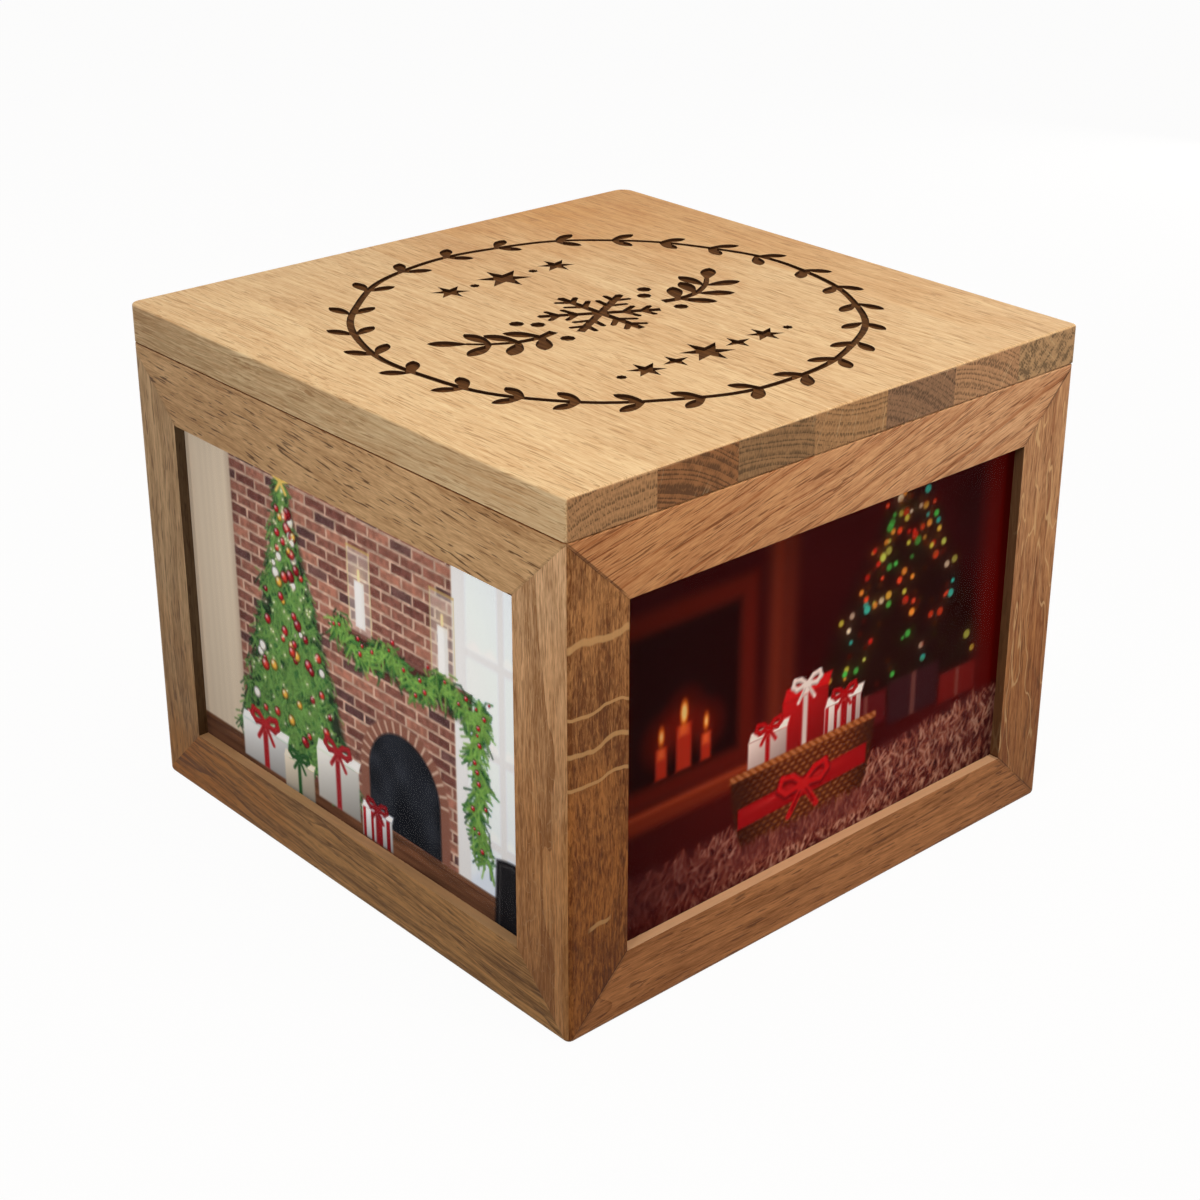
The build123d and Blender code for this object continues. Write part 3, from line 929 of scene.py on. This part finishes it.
    # Parcels in pale paper, and a dark chair back at the right
    for about in (
        (58, 7, 19, 15, "#efe7d8", "#a8282c"),
        (22, 5, 22, 12, "#f3eee4", "#b3262a"),
        (42, 3, 14, 10, "#e3d3b8", "#2f5a2e"),
        (78, 4, 13, 9, "#f6f2ea", "#8e1d22", True),
    ):
        parcel(ink, *about)
    chair = np.maximum(abs(ACROSS - 143) - 10 + 0.05 * UP, UP - 24 + 0.02 * (ACROSS - 143) ** 2)
    lay(ink, edge(chair, 1.0), "#1c1a1c")
    lay(ink, 0.5 * edge(abs(chair + 1.6) - 0.25, 0.6), "#5a5552")
    ink *= (0.97, 1.0, 1.05)
    ink *= (1.14 - 0.2 * np.hypot((ACROSS - 76) / 110, (UP - 60) / 90))[..., None]


def firelit_room(ink, rng):
    """A dark red room: lights out of focus, parcels, a basket and a deep pile rug."""
    ink += rgb("#3a0506")
    lay(ink, 0.8 * edge(np.hypot((ACROSS - 40) / 1.6, UP - 30) - 12, 50), "#5a1009")
    lay(ink, 0.75 * edge(np.hypot((ACROSS - 128) / 1.2, UP - 26) - 8, 45), "#7a0f0a")
    lay(ink, 0.6 * cloud(rng, 22) ** 2, "#1c0204")

    # Panelled wall and a dark recess with candles glowing in it, all out of focus
    lay_oblongs(
        ink,
        (1, "#5a1408", 4, 52, 40, 92, 3.0),
        (1, "#1a0303", 9, 46, 45, 86, 3.0),
        (1, "#7d2f12", 0, 62, 33, 39, 3.0),
        (0.6, "#b0552a", 0, 60, 37, 38.6, 1.5),
        (1, "#5a2010", 55, 66, 40, 104, 4.0),
        (0.5, "#8c3d1e", 58, 60, 40, 104, 3.0),
    )
    for x, y, size in ((20, 56, 1.0), (27.5, 60, 1.35), (35, 55, 0.9)):
        lay(ink, 0.75 * edge(np.hypot(ACROSS - x, (UP - y) * 0.9) - 2 * size, 13), "#c2230a")
        lay_oblongs(
            ink,
            (1, "#b8381c", x - 1.9 * size, x + 1.9 * size, 45.5, y - 2.0, 1.2),
            (0.7, "#ff8a3a", x - 1.2 * size, x + 1.2 * size, y - 5.0, y - 2.2, 1.5),
        )
        flame = np.hypot(ACROSS - x, (UP - y - 1.2) / 2.6) - size
        lay(ink, edge(flame, 1.0), "#ff9a26")
        lay(ink, edge(flame + 0.5, 0.6), "#ffe48a")

    # The tree of lights: dark green and black with soft coloured discs
    cone = abs(ACROSS - 106) - (104 - UP) * 0.62
    lay(ink, 0.85 * edge(cone, 10) * edge(38 - UP, 6), "#1a0604")
    lay(ink, 0.5 * edge(cone, 8) * edge(38 - UP, 6) * cloud(rng, 4), "#2c2a10")
    for _ in range(96):
        away = abs(DOTS - in_cone(rng, 106, 104, 0.55, 42, 100, 4))
        away -= rng.uniform(0.55, 1.35)
        glow = rgb(DISCS[rng.integers(len(DISCS))])
        lay(ink, 0.22 * edge(away, 6), glow * 0.7)
        lay(ink, rng.uniform(0.65, 1.0) * edge(away, 0.6), glow)
    for _ in range(70):
        away = abs(DOTS - in_cone(rng, 106, 104, 0.5, 42, 98, 3))
        lay(ink, 0.5 * edge(away - 0.5, 1.6), rng.choice(("#9c2a12", "#8a5a1a", "#4a5a1a")))
    lay(ink, 0.8 * oblong(138, 160, 20, 110, 6.0), "#6a0a06")

    # Shadowed parcels under the tree
    for x, y, width, height, tone in (
        (86, 32, 16, 10, "#5a1418"), (103, 30, 20, 13, "#3a1a20"), (124, 29, 15, 9, "#7a1a14")
    ):
        lay_oblongs(
            ink,
            (1, tone, x, x + width, y, y + height, 1.6),
            (0.6, "#8f6a5a", x + width * 0.45, x + width * 0.55, y, y + height, 1.0),
        )

    # Deep pile rug
    pile_top = 20 + 7 * (ACROSS / PRINT_LENGTH) ** 2 + 2.5 * cloud(rng, 6)
    rug = edge(UP - pile_top, 2.5)
    lay(ink, rug, "#5c2c2a")
    for tone, count, reach in (
        ("#3a1414", 900, 4.0), ("#84493c", 1500, 4.5), ("#bd8669", 1300, 4.0), ("#edc8a6", 900, 3.2)
    ):
        for _ in range(count):
            x = rng.uniform(-3, PRINT_LENGTH + 3)
            place = complex(x, rng.uniform(-3, 19 + 7 * (max(x, 0) / PRINT_LENGTH) ** 2))
            swing = rng.normal(1.4, 0.7)
            tip = place + cmath.rect(reach * rng.uniform(0.4, 1.0), swing)
            dab(ink, place, tip, 0.5, rgb(tone) * rng.uniform(0.85, 1.1), 0.7)
    lay(ink, 0.75 * edge(ACROSS - 35, 60) * rug, "#420a0c")

    # Basket with parcels in it
    for about in (
        (62, 34, 17, 17, "#c01a1e", "#f2ece4"),
        (78, 31, 14, 13, "#f2e9e2", "#b3161c", True),
        (50, 32, 14, 12, "#efe3da", "#c2181c"),
    ):
        parcel(ink, *about)
    aside = abs(ACROSS - 71)
    sides = np.maximum(aside - 22 - 0.22 * (UP - 14), np.maximum(12 - UP, UP - 36))
    cover = edge(sides - 1.2 * np.sin((UP - 12) / 24 * math.pi), 0.8)
    lay(ink, cover, "#5a2c12")
    course = np.floor(UP / CANE).astype(int)
    weave = np.sin((ACROSS + 1.4 * (course % 2)) * math.pi / 1.4)
    round_cane = np.clip(1 - abs(UP % CANE - CANE / 2) / (CANE / 2), 0, 1)
    lay(ink, cover * 0.85 * np.clip(0.55 + 0.45 * weave, 0, 1) * round_cane, "#c08848")
    lay(ink, cover * 0.5 * edge(24 - aside, 11.9), "#2a0f08")
    lay(ink, cover * 0.45 * np.clip((abs(ACROSS - 74) - 10) / 14, 0, 1), "#1f0806")
    rim = edge(abs(UP - 35.5) - 1.0, 0.7) * edge(aside - 27.2, 1.0)
    lay(ink, rim, "#8a4f22")
    lay(ink, rim * np.clip(0.5 + 0.5 * np.sin((ACROSS + UP) * 2.6), 0, 1) * 0.8, "#d39a58")
    slope = UP - 0.04 * (ACROSS - 71)
    lay(ink, edge(np.maximum(abs(slope - 24) - 3.0, aside - 24.0), 0.8), "#a80f14")
    light = edge(abs(slope - 25.2) - 0.7, 1.4) * edge(abs(ACROSS - 68) - 16, 14)
    lay(ink, 0.6 * light, "#e8403a")
    ribbon_bow(ink, 71 + 24.5j, 8.0, "#d01c1e", "#7c0a10")
    for _ in range(900):
        place = complex(rng.uniform(46, 96), rng.uniform(7.5, 12.5))
        swing = rng.normal(1.5, 0.5)
        tip = place + cmath.rect(rng.uniform(1.5, 4.0), swing)
        dab(ink, place, tip, 0.5, ("#7c4238", "#ad7560", "#5c2c2a")[rng.integers(3)], 0.7)

    # Darks stay a deep pure red, and the corners fall into shade
    deep = np.clip(1 - ink.mean(axis=-1) / 0.12, 0, 1)[..., None]
    ink *= 1 - deep * (-0.2, 0.6, 0.7)
    ink[..., 1:] *= 0.72 + 0.24 * ink[..., 1:2]
    ink *= (0.97 - 0.42 * np.hypot((ACROSS - 76) / 105, (UP - 50) / 78) ** 2)[..., None]


def winter_evening(ink, rng):
    """Snowy firs under a deep blue evening sky, with a lit cabin far off."""
    sky = np.clip((UP - 35) / 66, 0, 1)[..., None]
    ink += rgb("#e6b48c") * (1 - sky) + rgb("#22385c") * sky
    lay(ink, 0.3 * cloud(rng, 9, wide=0.4) ** 2, "#f0d2c0")
    for base, height, tone in ((44, 16, "#6f86a0"), (38, 12, "#8da2b8")):
        lay(ink, edge(UP - base - height * (cloud(rng, 24, tall=0) - 0.4), 1.0), tone)
    snow = 30 + 5 * np.sin(ACROSS * 0.045 + 0.6) + 1.5 * cloud(rng, 14)
    drift = rgb("#dfe7f2") * (0.82 + 0.2 * cloud(rng, 12, tall=2.5))[..., None]
    lay(ink, edge(UP - snow, 1.0), drift)
    lay(ink, oblong(92, 108, 31, 41), "#4a3428")
    roof = np.maximum(abs(ACROSS - 100) * 0.7 + UP - 50, 40.5 - UP)
    lay(ink, edge(roof, 0.8), "#eef3fa")
    for x in (95.5, 102.0):
        lay(ink, 0.6 * edge(abs(DOTS - x - 1.2 - 36j) - 2, 7), "#ffb65a")
        lay(ink, oblong(x, x + 2.6, 34.3, 38), "#ffd98a")
    for x, foot, tall in (
        (14, 22, 62), (34, 27, 42), (62, 29, 30), (78, 31, 22), (124, 28, 38), (140, 20, 66)
    ):
        lay(ink, oblong(x - 0.8, x + 0.8, foot - 3, foot + 4), "#3a2a22")
        places, caps = [], []
        for y in np.arange(foot, foot + tall, 1.1):
            tier = ((y - foot) % (tall / 7)) / (tall / 7)
            reach = (foot + tall - y) * 0.3 * (1.05 - 0.35 * tier)
            for _ in range(max(int(reach), 1)):
                places.append(complex(x + rng.uniform(-reach, reach), y))
            caps.append(complex(x + rng.uniform(-reach, reach) * 0.9, y + 0.8))
        foliage(ink, rng, places, ("#16302a", "#234a3c"), 2.6, -1.0, 0.6, 0.6)
        foliage(ink, rng, caps, ("#cddbe8", "#f4f8fc"), 1.8, -0.5, 0.7, 0.5)
    for _ in range(260):
        spot = complex(rng.uniform(0, PRINT_LENGTH), rng.uniform(0, PRINT_HEIGHT))
        dab(ink, spot, spot + 0.1, rng.uniform(0.3, 1.0), "#ffffff", rng.uniform(0.3, 0.8))


def hung_baubles(ink, rng):
    """Fir twigs across the top with baubles hung on red ribbon, against a warm blurred wall."""
    ink += rgb("#c9a27a")
    lay(ink, 0.8 * cloud(rng, 34), "#8a5a3c")
    lay(ink, 0.5 * cloud(rng, 20) ** 2, "#f2ddb8")
    for _ in range(46):
        spot = complex(rng.uniform(0, PRINT_LENGTH), rng.uniform(0, PRINT_HEIGHT))
        away = abs(DOTS - spot) - rng.uniform(1.5, 4.0)
        cover = rng.uniform(0.2, 0.45) * edge(away, 0.9)
        lay(ink, cover, rng.choice(("#ffe2a8", "#ffd07a", "#fff3d8")))
    for drop, x, size, tone in (
        (38, 26, 9.5, "#a81c22"), (58, 52, 7.0, "#d9a441"), (34, 80, 11.0, "#8e1d22"),
        (55, 106, 8.0, "#efe6d2"), (40, 131, 9.0, "#2c5a3a"),
    ):
        centre, top = complex(x, drop), complex(x, drop + size)
        dab(ink, x + 100j, top, 0.7, "#b3262a")
        ball(ink, centre, size, tone)
        stripe = abs(UP - drop - 1.6 * np.sin((ACROSS - x) * 0.9)) - 0.45
        lay(ink, 0.75 * edge(stripe, 0.5) * edge(abs(DOTS - centre) - size, 0.6), "#f5e6c4")
        dab(ink, top - 0.3j, top + 1.6j, 2.2, "#c9a45c")
        ribbon_bow(ink, top + 3.2j, 3.6, "#c0262c", "#7c1218")
    twigs = [
        complex(x, 96 + 3.5 * math.sin(x * 0.11) + rng.normal(0, 2.2))
        for x in np.arange(-2, 156, 0.45)
    ]
    foliage(ink, rng, twigs, TWIG_GREENS, length=7.5, droop=-0.5, width=0.6, spread=1.6)
    for place in twigs[::9]:
        ball(ink, place + jitter(rng, 2, 3), rng.uniform(0.8, 1.3), "#b8282a")


# What each print shows, and where its random draws start
PICTURES = {
    "front": (firelit_room, 23),
    "right": (winter_evening, 31),
    "back": (hung_baubles, 47),
    "left": (daylight_room, 11),
}


def photo_paper(put):
    """Glossy photographic paper: a smooth resin coat over ink, with a faint pearl grain. Its ink also
    glows with its own colour, a painted light that lifts the prints out of the box's shade."""
    ink = put("VertexColor", layer_name="ink")["Color"]
    grain = {"Vector": put("TexCoord")["Object"], "Scale": 1 / (0.6 * MM), "Detail": 1.0}
    grain = put("TexNoise", grain)[0]
    return {
        "Base Color": ink,
        "Roughness": put("MapRange", {0: grain, 3: 0.28, 4: 0.36})[0],
        "IOR": 1.5,
        "Specular IOR Level": 0.0,
        # Painted light: the ink glows at 0.4 of its own colour, to lift the prints out of the box's
        # shade
        "Emission Color": ink,
        "Emission Strength": 0.4,
        "Normal": put("Bump", {"Height": grain, "Strength": 0.05, "Distance": 0.02 * MM})[0],
    }


def make_prints():
    """Four photographic prints: each front is a fine grid of dots that carry the ink's colour."""
    paper = new_material("glossy photographic paper", photo_paper)
    quads, rim = grid_faces(*UP.shape)
    ring = UP.size + np.arange(len(rim))
    faces = [*quads.tolist(), *band(ring, rim), ring[::-1].tolist()]
    front = PRINT_DEPTH + PANE_GAP - HALF_WIDTH
    back = PRINT_DEPTH + PRINT_THICKNESS - HALF_WIDTH
    for side, (paint, seed) in PICTURES.items():
        ink = np.zeros((*UP.shape, 3))
        paint(ink, np.random.default_rng(seed))
        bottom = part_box(f"{side}_print")[0].z / MM
        dots = [ACROSS - PRINT_LENGTH / 2, np.full_like(UP, front), UP + bottom]
        dots = np.stack(dots, axis=-1).reshape(-1, 3)
        behind = dots[rim]
        behind[:, 1] = back
        points = np.concatenate([dots, behind]) @ np.array(turned(side)).T
        piece = new_mesh(f"{side}_photo", points.tolist(), faces)
        colours = np.ones((len(points), 4))
        colours[: UP.size, :3] = linear(np.clip(ink, 0, 1).reshape(-1, 3))
        layer = piece.data.color_attributes.new("ink", "FLOAT_COLOR", "POINT")
        layer.data.foreach_set("color", colours.ravel())
        piece.data.materials.append(paper)
        fit(piece, "box_body", f"{side}_print")


# ---------------------------------------------------------------- inside

FELT_DEPTH = 7.9              # from the box's face to the felt
FELT_THICKNESS = 0.8
FELT_STEP = 2.5
TAB_WIDTH = 10.0
TAB_THICKNESS = 0.22
TAB_BULGE = 2.2               # how far the ribbon's fold stands out


def clear_acrylic(put):
    """Cast acrylic sheet: clear and smooth, so that only a faint sheen shows that it is there."""
    coords = put("TexCoord")["Object"]
    ripple = put("TexNoise", {"Vector": coords, "Scale": 1 / (40 * MM), "Detail": 1.0})[0]
    return {
        "Base Color": "#0c0e0e",
        "Roughness": 0.04,
        "IOR": 1.49,
        "Alpha": 0.035,
        "Normal": put("Bump", {"Height": ripple, "Strength": 0.1, "Distance": 0.1 * MM})[0],
    }


def hardboard(put):
    """Tempered hardboard: pressed brown fibres, smooth and faintly speckled."""
    coords = put("TexCoord")["Object"]
    flakes = put("TexVoronoi", {"Vector": coords, "Scale": 1 / (1.6 * MM)})["Color"]
    fibre = put("TexNoise", {"Vector": coords, "Scale": 1 / (0.7 * MM), "Detail": 4.0})[0]
    tone = put("Math MULTIPLY", [fibre, 0.6])[0]
    tone = put("Math MULTIPLY_ADD", [put("SeparateColor", [flakes])[0], 0.4, tone])[0]
    browns = ((0.25, "#5f4128"), (0.5, "#7a563a"), (0.75, "#96704c"))
    return {
        "Base Color": put("ValToRGB", [tone], browns)[0],
        "Roughness": 0.6,
        "IOR": 1.5,
        "Normal": put("Bump", {"Height": fibre, "Strength": 0.3, "Distance": 0.05 * MM})[0],
    }


def oak_plywood(put):
    """Oak-faced plywood: a thin oak veneer, with light and dark plies along its edges."""
    coords = put("TexCoord")
    scale = (1 / (16 * MM), 1 / (1.2 * MM), 1 / (1.2 * MM))
    wood = put("VectorMath MULTIPLY", [coords["Object"], scale])[0]
    streak = put("TexNoise", {"Vector": wood, "Scale": 1.0, "Detail": 3.0})[0]
    veneer = put("ValToRGB", [streak], ((0.3, "#b48c60"), (0.5, "#cfa679"), (0.7, "#dcb78b")))[0]
    height = put("SeparateXYZ", [coords["Object"]])[2]
    ply = put("Math FRACT", [put("Math MULTIPLY", [height, 1 / (2.0 * MM)])[0]])[0]
    ply = put("Math GREATER_THAN", [ply, 0.5])[0]
    plies = put("Mix", {0: ply, 6: "#d9b98c", 7: "#9a6f48"}, **RGBA)[2]
    flat = put("Math ABSOLUTE", [put("SeparateXYZ", [coords["Normal"]])[2]])[0]
    flat = put("Math GREATER_THAN", [flat, 0.8])[0]
    return {
        "Base Color": put("Mix", {0: flat, 6: plies, 7: veneer}, **RGBA)[2],
        "Roughness": 0.6,
        "IOR": 1.5,
        "Normal": put("Bump", {"Height": streak, "Strength": 0.25, "Distance": 0.1 * MM})[0],
    }


def zinc_plate(put):
    """Bright zinc plating on steel: a soft grey gloss, a little blotchy."""
    coords = put("TexCoord")["Object"]
    blotch = put("TexNoise", {"Vector": coords, "Scale": 1 / (1.5 * MM), "Detail": 3.0})[0]
    return {
        "Base Color": put("ValToRGB", [blotch], ((0.3, "#b9bdc2"), (0.7, "#d6d9dc")))[0],
        "Roughness": put("MapRange", {0: blotch, 3: 0.25, 4: 0.42})[0],
        "Metallic": 1.0,
    }


def wool_felt(put):
    """Pressed wool felt, charcoal: matted fibres in mixed greys with a soft bloom."""
    coords = put("TexCoord")["Object"]
    fibre = {"Vector": coords, "Scale": 1 / (0.9 * MM), "Detail": 4.0}
    fibre = put("TexNoise", {**fibre, "Roughness": 0.7, "Distortion": 1.2})[0]
    patch = put("TexNoise", {"Vector": coords, "Scale": 1 / (14 * MM), "Detail": 1.0})[0]
    tone = put("Math MULTIPLY", [patch, 0.3])[0]
    tone = put("Math MULTIPLY_ADD", [fibre, 0.7, tone])[0]
    greys = ((0.3, "#26272b"), (0.5, "#3a3b40"), (0.72, "#595a60"))
    return {
        "Base Color": put("ValToRGB", [tone], greys)[0],
        "Roughness": 0.95,
        "IOR": 1.45,
        "Sheen Weight": 0.3,
        "Sheen Roughness": 0.5,
        "Normal": put("Bump", {"Height": fibre, "Strength": 0.7, "Distance": 0.3 * MM})[0],
    }


def grosgrain(put):
    """Woven grosgrain ribbon, deep red: ribs straight across it, drawn 0.8 mm apart to show."""
    coords = put("TexCoord")["Object"]
    height = put("SeparateXYZ", [coords])[2]
    rib = put("Math SINE", [put("Math MULTIPLY", [height, 2 * math.pi / (0.8 * MM)])[0]])[0]
    weft = put("TexNoise", {"Vector": coords, "Scale": 1 / (0.25 * MM), "Detail": 2.0})[0]
    tone = put("MapRange", [rib, -1.0, 1.0, 0.2, 0.6])[0]
    tone = put("Math MULTIPLY_ADD", [weft, 0.3, tone])[0]
    reds = ((0.2, "#5e1418"), (0.55, "#8c2226"), (0.85, "#a93a3a"))
    return {
        "Base Color": put("ValToRGB", [tone], reds)[0],
        "Roughness": 0.7,
        "IOR": 1.45,
        "Sheen Weight": 0.4,
        "Sheen Roughness": 0.4,
        "Normal": put("Bump", {"Height": rib, "Strength": 0.5, "Distance": 0.1 * MM})[0],
    }


def soft_mesh(name, points, faces, place, material):
    """A smooth mesh object, moved from where it was made to its place."""
    piece = new_mesh(name, [place @ Vector(point) for point in points], faces)
    piece.data.materials.append(material)
    piece.data.shade_smooth()
    return piece


def felt_sheet(name, width, length, thickness, place, seed, felt):
    """A sheet of felt, face up, with a soft cut edge and a gently uneven surface."""
    rng = np.random.default_rng(seed)
    soft = 0.35 * thickness
    columns, rows = round(width / FELT_STEP), round(length / FELT_STEP)
    quads, rim = grid_faces(rows, columns)
    layers = []
    for level, inset in ((0, soft), (soft, 0), (thickness - soft, 0), (thickness, soft)):
        x = np.linspace(inset - width / 2, width / 2 - inset, columns)
        y = np.linspace(inset - length / 2, length / 2 - inset, rows)
        x, y = np.meshgrid(x, y)
        z = np.full_like(x, level)
        if level == thickness:
            z -= 0.12 * thickness * rng.random(z.shape)
        layers.append(np.stack([x, y, z], axis=-1).reshape(-1, 3))
    points = np.concatenate([layers[0], layers[1][rim], layers[2][rim], layers[3]])
    ring = rows * columns + np.arange(len(rim))
    top = rows * columns + 2 * len(rim)
    faces = (quads + top).tolist() + quads[:, ::-1].tolist()
    loops = [rim, ring, ring + len(rim), rim + top]
    for under, over in zip(loops, loops[1:]):
        faces += band(under, over)
    return soft_mesh(name, points, faces, place, felt)


def ribbon_loop(name, top, length, glued, place, ribbon):
    """A ribbon doubled over into a tab. Both ends are glued at the top and the fold hangs open."""
    # Its line from the side, as complex numbers: out from the felt, and up times 1j
    start, low = glued + 0.6 * TAB_THICKNESS, top - length + 2.5
    t = np.linspace(0, 1, 13)
    flap = 0.25 * np.sin(np.pi * t)
    turn = np.pi * t[1:-1]
    sway = TAB_BULGE * (1 - t) ** 1.6 + 0.33 * t + flap
    line = np.concatenate([
        start + 0.25 * np.sin(np.pi * t) ** 2 + 1j * (top - t * (top - low)),
        start + TAB_BULGE / 2 * (1 - np.cos(turn)) + 1j * (low - 2.2 * np.sin(turn)),
        start + sway + 1j * (low + t * (top - low)),
    ])
    padded = np.pad(line, 1, mode="edge")
    normal = 1j * (padded[2:] - padded[:-2])
    normal = (normal / abs(normal))[:, None]
    across = np.linspace(-TAB_WIDTH / 2, TAB_WIDTH / 2, 9)
    cup = 0.06 * np.sin(0.7 * np.arange(len(line)))[:, None]
    crown = cup * (1 - (2 * across / TAB_WIDTH) ** 2)
    points = []
    for face in (-TAB_THICKNESS / 2, TAB_THICKNESS / 2):
        surface = line[:, None] + normal * (face + crown)
        x = np.broadcast_to(across, surface.shape)
        points.append(np.stack([x, surface.real, surface.imag], axis=-1).reshape(-1, 3))
    quads, rim = grid_faces(*surface.shape)
    faces = quads[:, ::-1].tolist() + (quads + surface.size).tolist()
    faces += band(rim, rim + surface.size)
    piece = soft_mesh(name, np.concatenate(points), faces, place, ribbon)
    fix = bmesh.new()
    fix.from_mesh(piece.data)
    bmesh.ops.recalc_face_normals(fix, faces=fix.faces)
    fix.to_mesh(piece.data)
    fix.free()
    return piece, abs(np.diff(line)).sum()


def dress_inside():
    """Felt, ribbon tabs, boards, panels, panes and screws."""
    felt = new_material("charcoal wool felt", wool_felt)
    ribbon = new_material("red grosgrain ribbon", grosgrain)
    plywood = new_material("oak-faced plywood", oak_plywood)
    plain = {
        "pane": new_material("clear cast acrylic", clear_acrylic),
        "backing_board": new_material("pressed brown hardboard", hardboard),
        "base_panel": plywood,
        "lid_locating_panel": plywood,
        "lid_screws": new_material("zinc-plated steel", zinc_plate),
    }
    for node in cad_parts:
        for ending, material in plain.items():
            if node.endswith(ending):
                repaint(node, material)

    for number, side in enumerate(SIDE_TURNS):
        spin = turned(side, 4)
        low, high = (corner.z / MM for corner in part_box(f"{side}_board_felt"))
        upright = Matrix.Translation((0, FELT_DEPTH - HALF_WIDTH, (low + high) / 2))
        upright = spin @ upright @ Matrix.Rotation(math.radians(-90), 4, "X")
        size = (PRINT_LENGTH, high - low)
        name = f"{side}_felt_lining"
        sheet = felt_sheet(name, *size, FELT_THICKNESS, upright, 60 + number, felt)
        fit(sheet, f"{side}_board", f"{side}_board_felt")

        low, high = (corner.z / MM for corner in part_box(f"{side}_pull_tab"))
        glued = FELT_DEPTH + FELT_THICKNESS - HALF_WIDTH
        loop, flat = ribbon_loop(f"{side}_ribbon_tab", high, high - low, glued, spin, ribbon)
        fit(loop, f"{side}_board", f"{side}_pull_tab")

    low, high = (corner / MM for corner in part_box("base_felt"))
    size = high - low
    laid = Matrix.Translation((0, 0, low.z))
    sheet = felt_sheet("base_felt_lining", size.x, size.x, size.z, laid, 70, felt)
    fit(sheet, "box_body", "base_felt")


# ---------------------------------------------------------------- light, floor and camera

FLOOR_REACH = 6000


def seen_white(put):
    """1 where the camera sees the white studio, also in gloss and through the panes, and 0 for
    what the studio gives the box."""
    path = put("LightPath")
    seen = put("Math MAXIMUM", [path["Is Camera Ray"], path["Is Glossy Ray"]])[0]
    return put("Math MAXIMUM", [seen, path["Is Transmission Ray"]])[0]


def build_world():
    world = bpy.data.worlds.new("soft studio")
    bpy.context.scene.world = world
    put = cleared(world)
    dim = put("Background", ["#ffe2c2", 0.15])[0]
    white = put("Background", ["#ffffff", 1.0])[0]
    put("OutputWorld", [put("MixShader", [seen_white(put), dim, white])[0]])


def pale_table(put):
    """A matt table, nearly all white to the camera. It gives the box only a little brown."""
    seen = seen_white(put)
    colour = put("Mix", {0: seen, 6: "#4a3a2a", 7: "#ffffff"}, **RGBA)[2]
    table = put("BsdfDiffuse", [colour])[0]
    white = put("Emission", ["#ffffff", 1.0])[0]
    return put("MixShader", [put("Math MULTIPLY", [seen, 0.96])[0], table, white])[0]


def build_floor():
    corners = [(FLOOR_REACH * x, FLOOR_REACH * y, 0) for x, y in ((-1, -1), (1, -1), (1, 1), (-1, 1))]
    floor = new_mesh("floor", corners, [(0, 1, 2, 3)])
    floor.data.materials.append(new_material("pale studio table", pale_table))


def add_lamp(name, kind, place, target, watts, colour, **settings):
    lamp = bpy.data.lights.new(name, kind)
    lamp.energy = watts
    lamp.color = linear(colour)
    for setting, value in settings.items():
        setattr(lamp, setting, value)
    holder = new_object(name, lamp)
    holder.location = place
    holder.rotation_euler = (Vector(target) - Vector(place)).to_track_quat("-Z", "Y").to_euler()


def build_lamps():
    """Two soft spots aimed just over the box, so that the light falls off down its sides, a soft
    box overhead, weak fills behind and an even wash from above. Metres and watts."""
    spot = dict(spot_size=math.radians(80), spot_blend=1.0, shadow_soft_size=0.07)
    fill = dict(shape="DISK", size=0.4)
    middle = (0.0, 0.0, 0.12)
    add_lamp("key", "SPOT", (0.15, -0.5, 0.257), (0.03, -0.06, 0.234), 4.75, "#fff0e0", **spot)
    add_lamp("left", "SPOT", (-0.5, -0.2, 0.268), (-0.06, -0.065, 0.249), 4.4, "#fffaf4", **spot)
    add_lamp("overhead", "AREA", (0.0, -0.08, 0.55), middle, 1.15, "#fff6e8", **fill)
    add_lamp("back_left_fill", "AREA", (-0.3, 0.8, 0.2), middle, 1.1, "#fffaf4", **fill)
    add_lamp("back_right_fill", "AREA", (0.8, 0.25, 0.2), middle, 1.1, "#fff6ea", **fill)
    add_lamp("sky_wash", "SUN", (0, 0, 2), middle, 0.45, "#fff2e2", angle=math.radians(80))


# Fitted to the box's corners, joints and windows in the photograph
CAMERA_AZIMUTH = -43.44
CAMERA_ELEVATION = 24.13
CAMERA_ROLL = -0.84
CAMERA_PLACE = (-380.7, -428.0, 333.3)
CAMERA_LENS = 67.32
CAMERA_SHIFT = (-0.0533, -0.0473)


def build_camera():
    camera = bpy.data.cameras.new("camera")
    camera.sensor_width = 36.0
    camera.lens = CAMERA_LENS
    camera.shift_x, camera.shift_y = CAMERA_SHIFT
    camera.clip_start = 0.01
    camera.clip_end = 50.0
    holder = new_object("camera", camera)
    holder.matrix_world = (
        Matrix.Translation(Vector(CAMERA_PLACE) * MM)
        @ Matrix.Rotation(math.radians(CAMERA_AZIMUTH), 4, "Z")
        @ Matrix.Rotation(math.radians(90 - CAMERA_ELEVATION), 4, "X")
        @ Matrix.Rotation(math.radians(-CAMERA_ROLL), 4, "Z")
    )
    bpy.context.scene.camera = holder


dress_frames()
carve_lid()
make_prints()
dress_inside()
build_world()
build_floor()
build_lamps()
build_camera()
bpy.context.scene.view_settings.view_transform = "Standard"
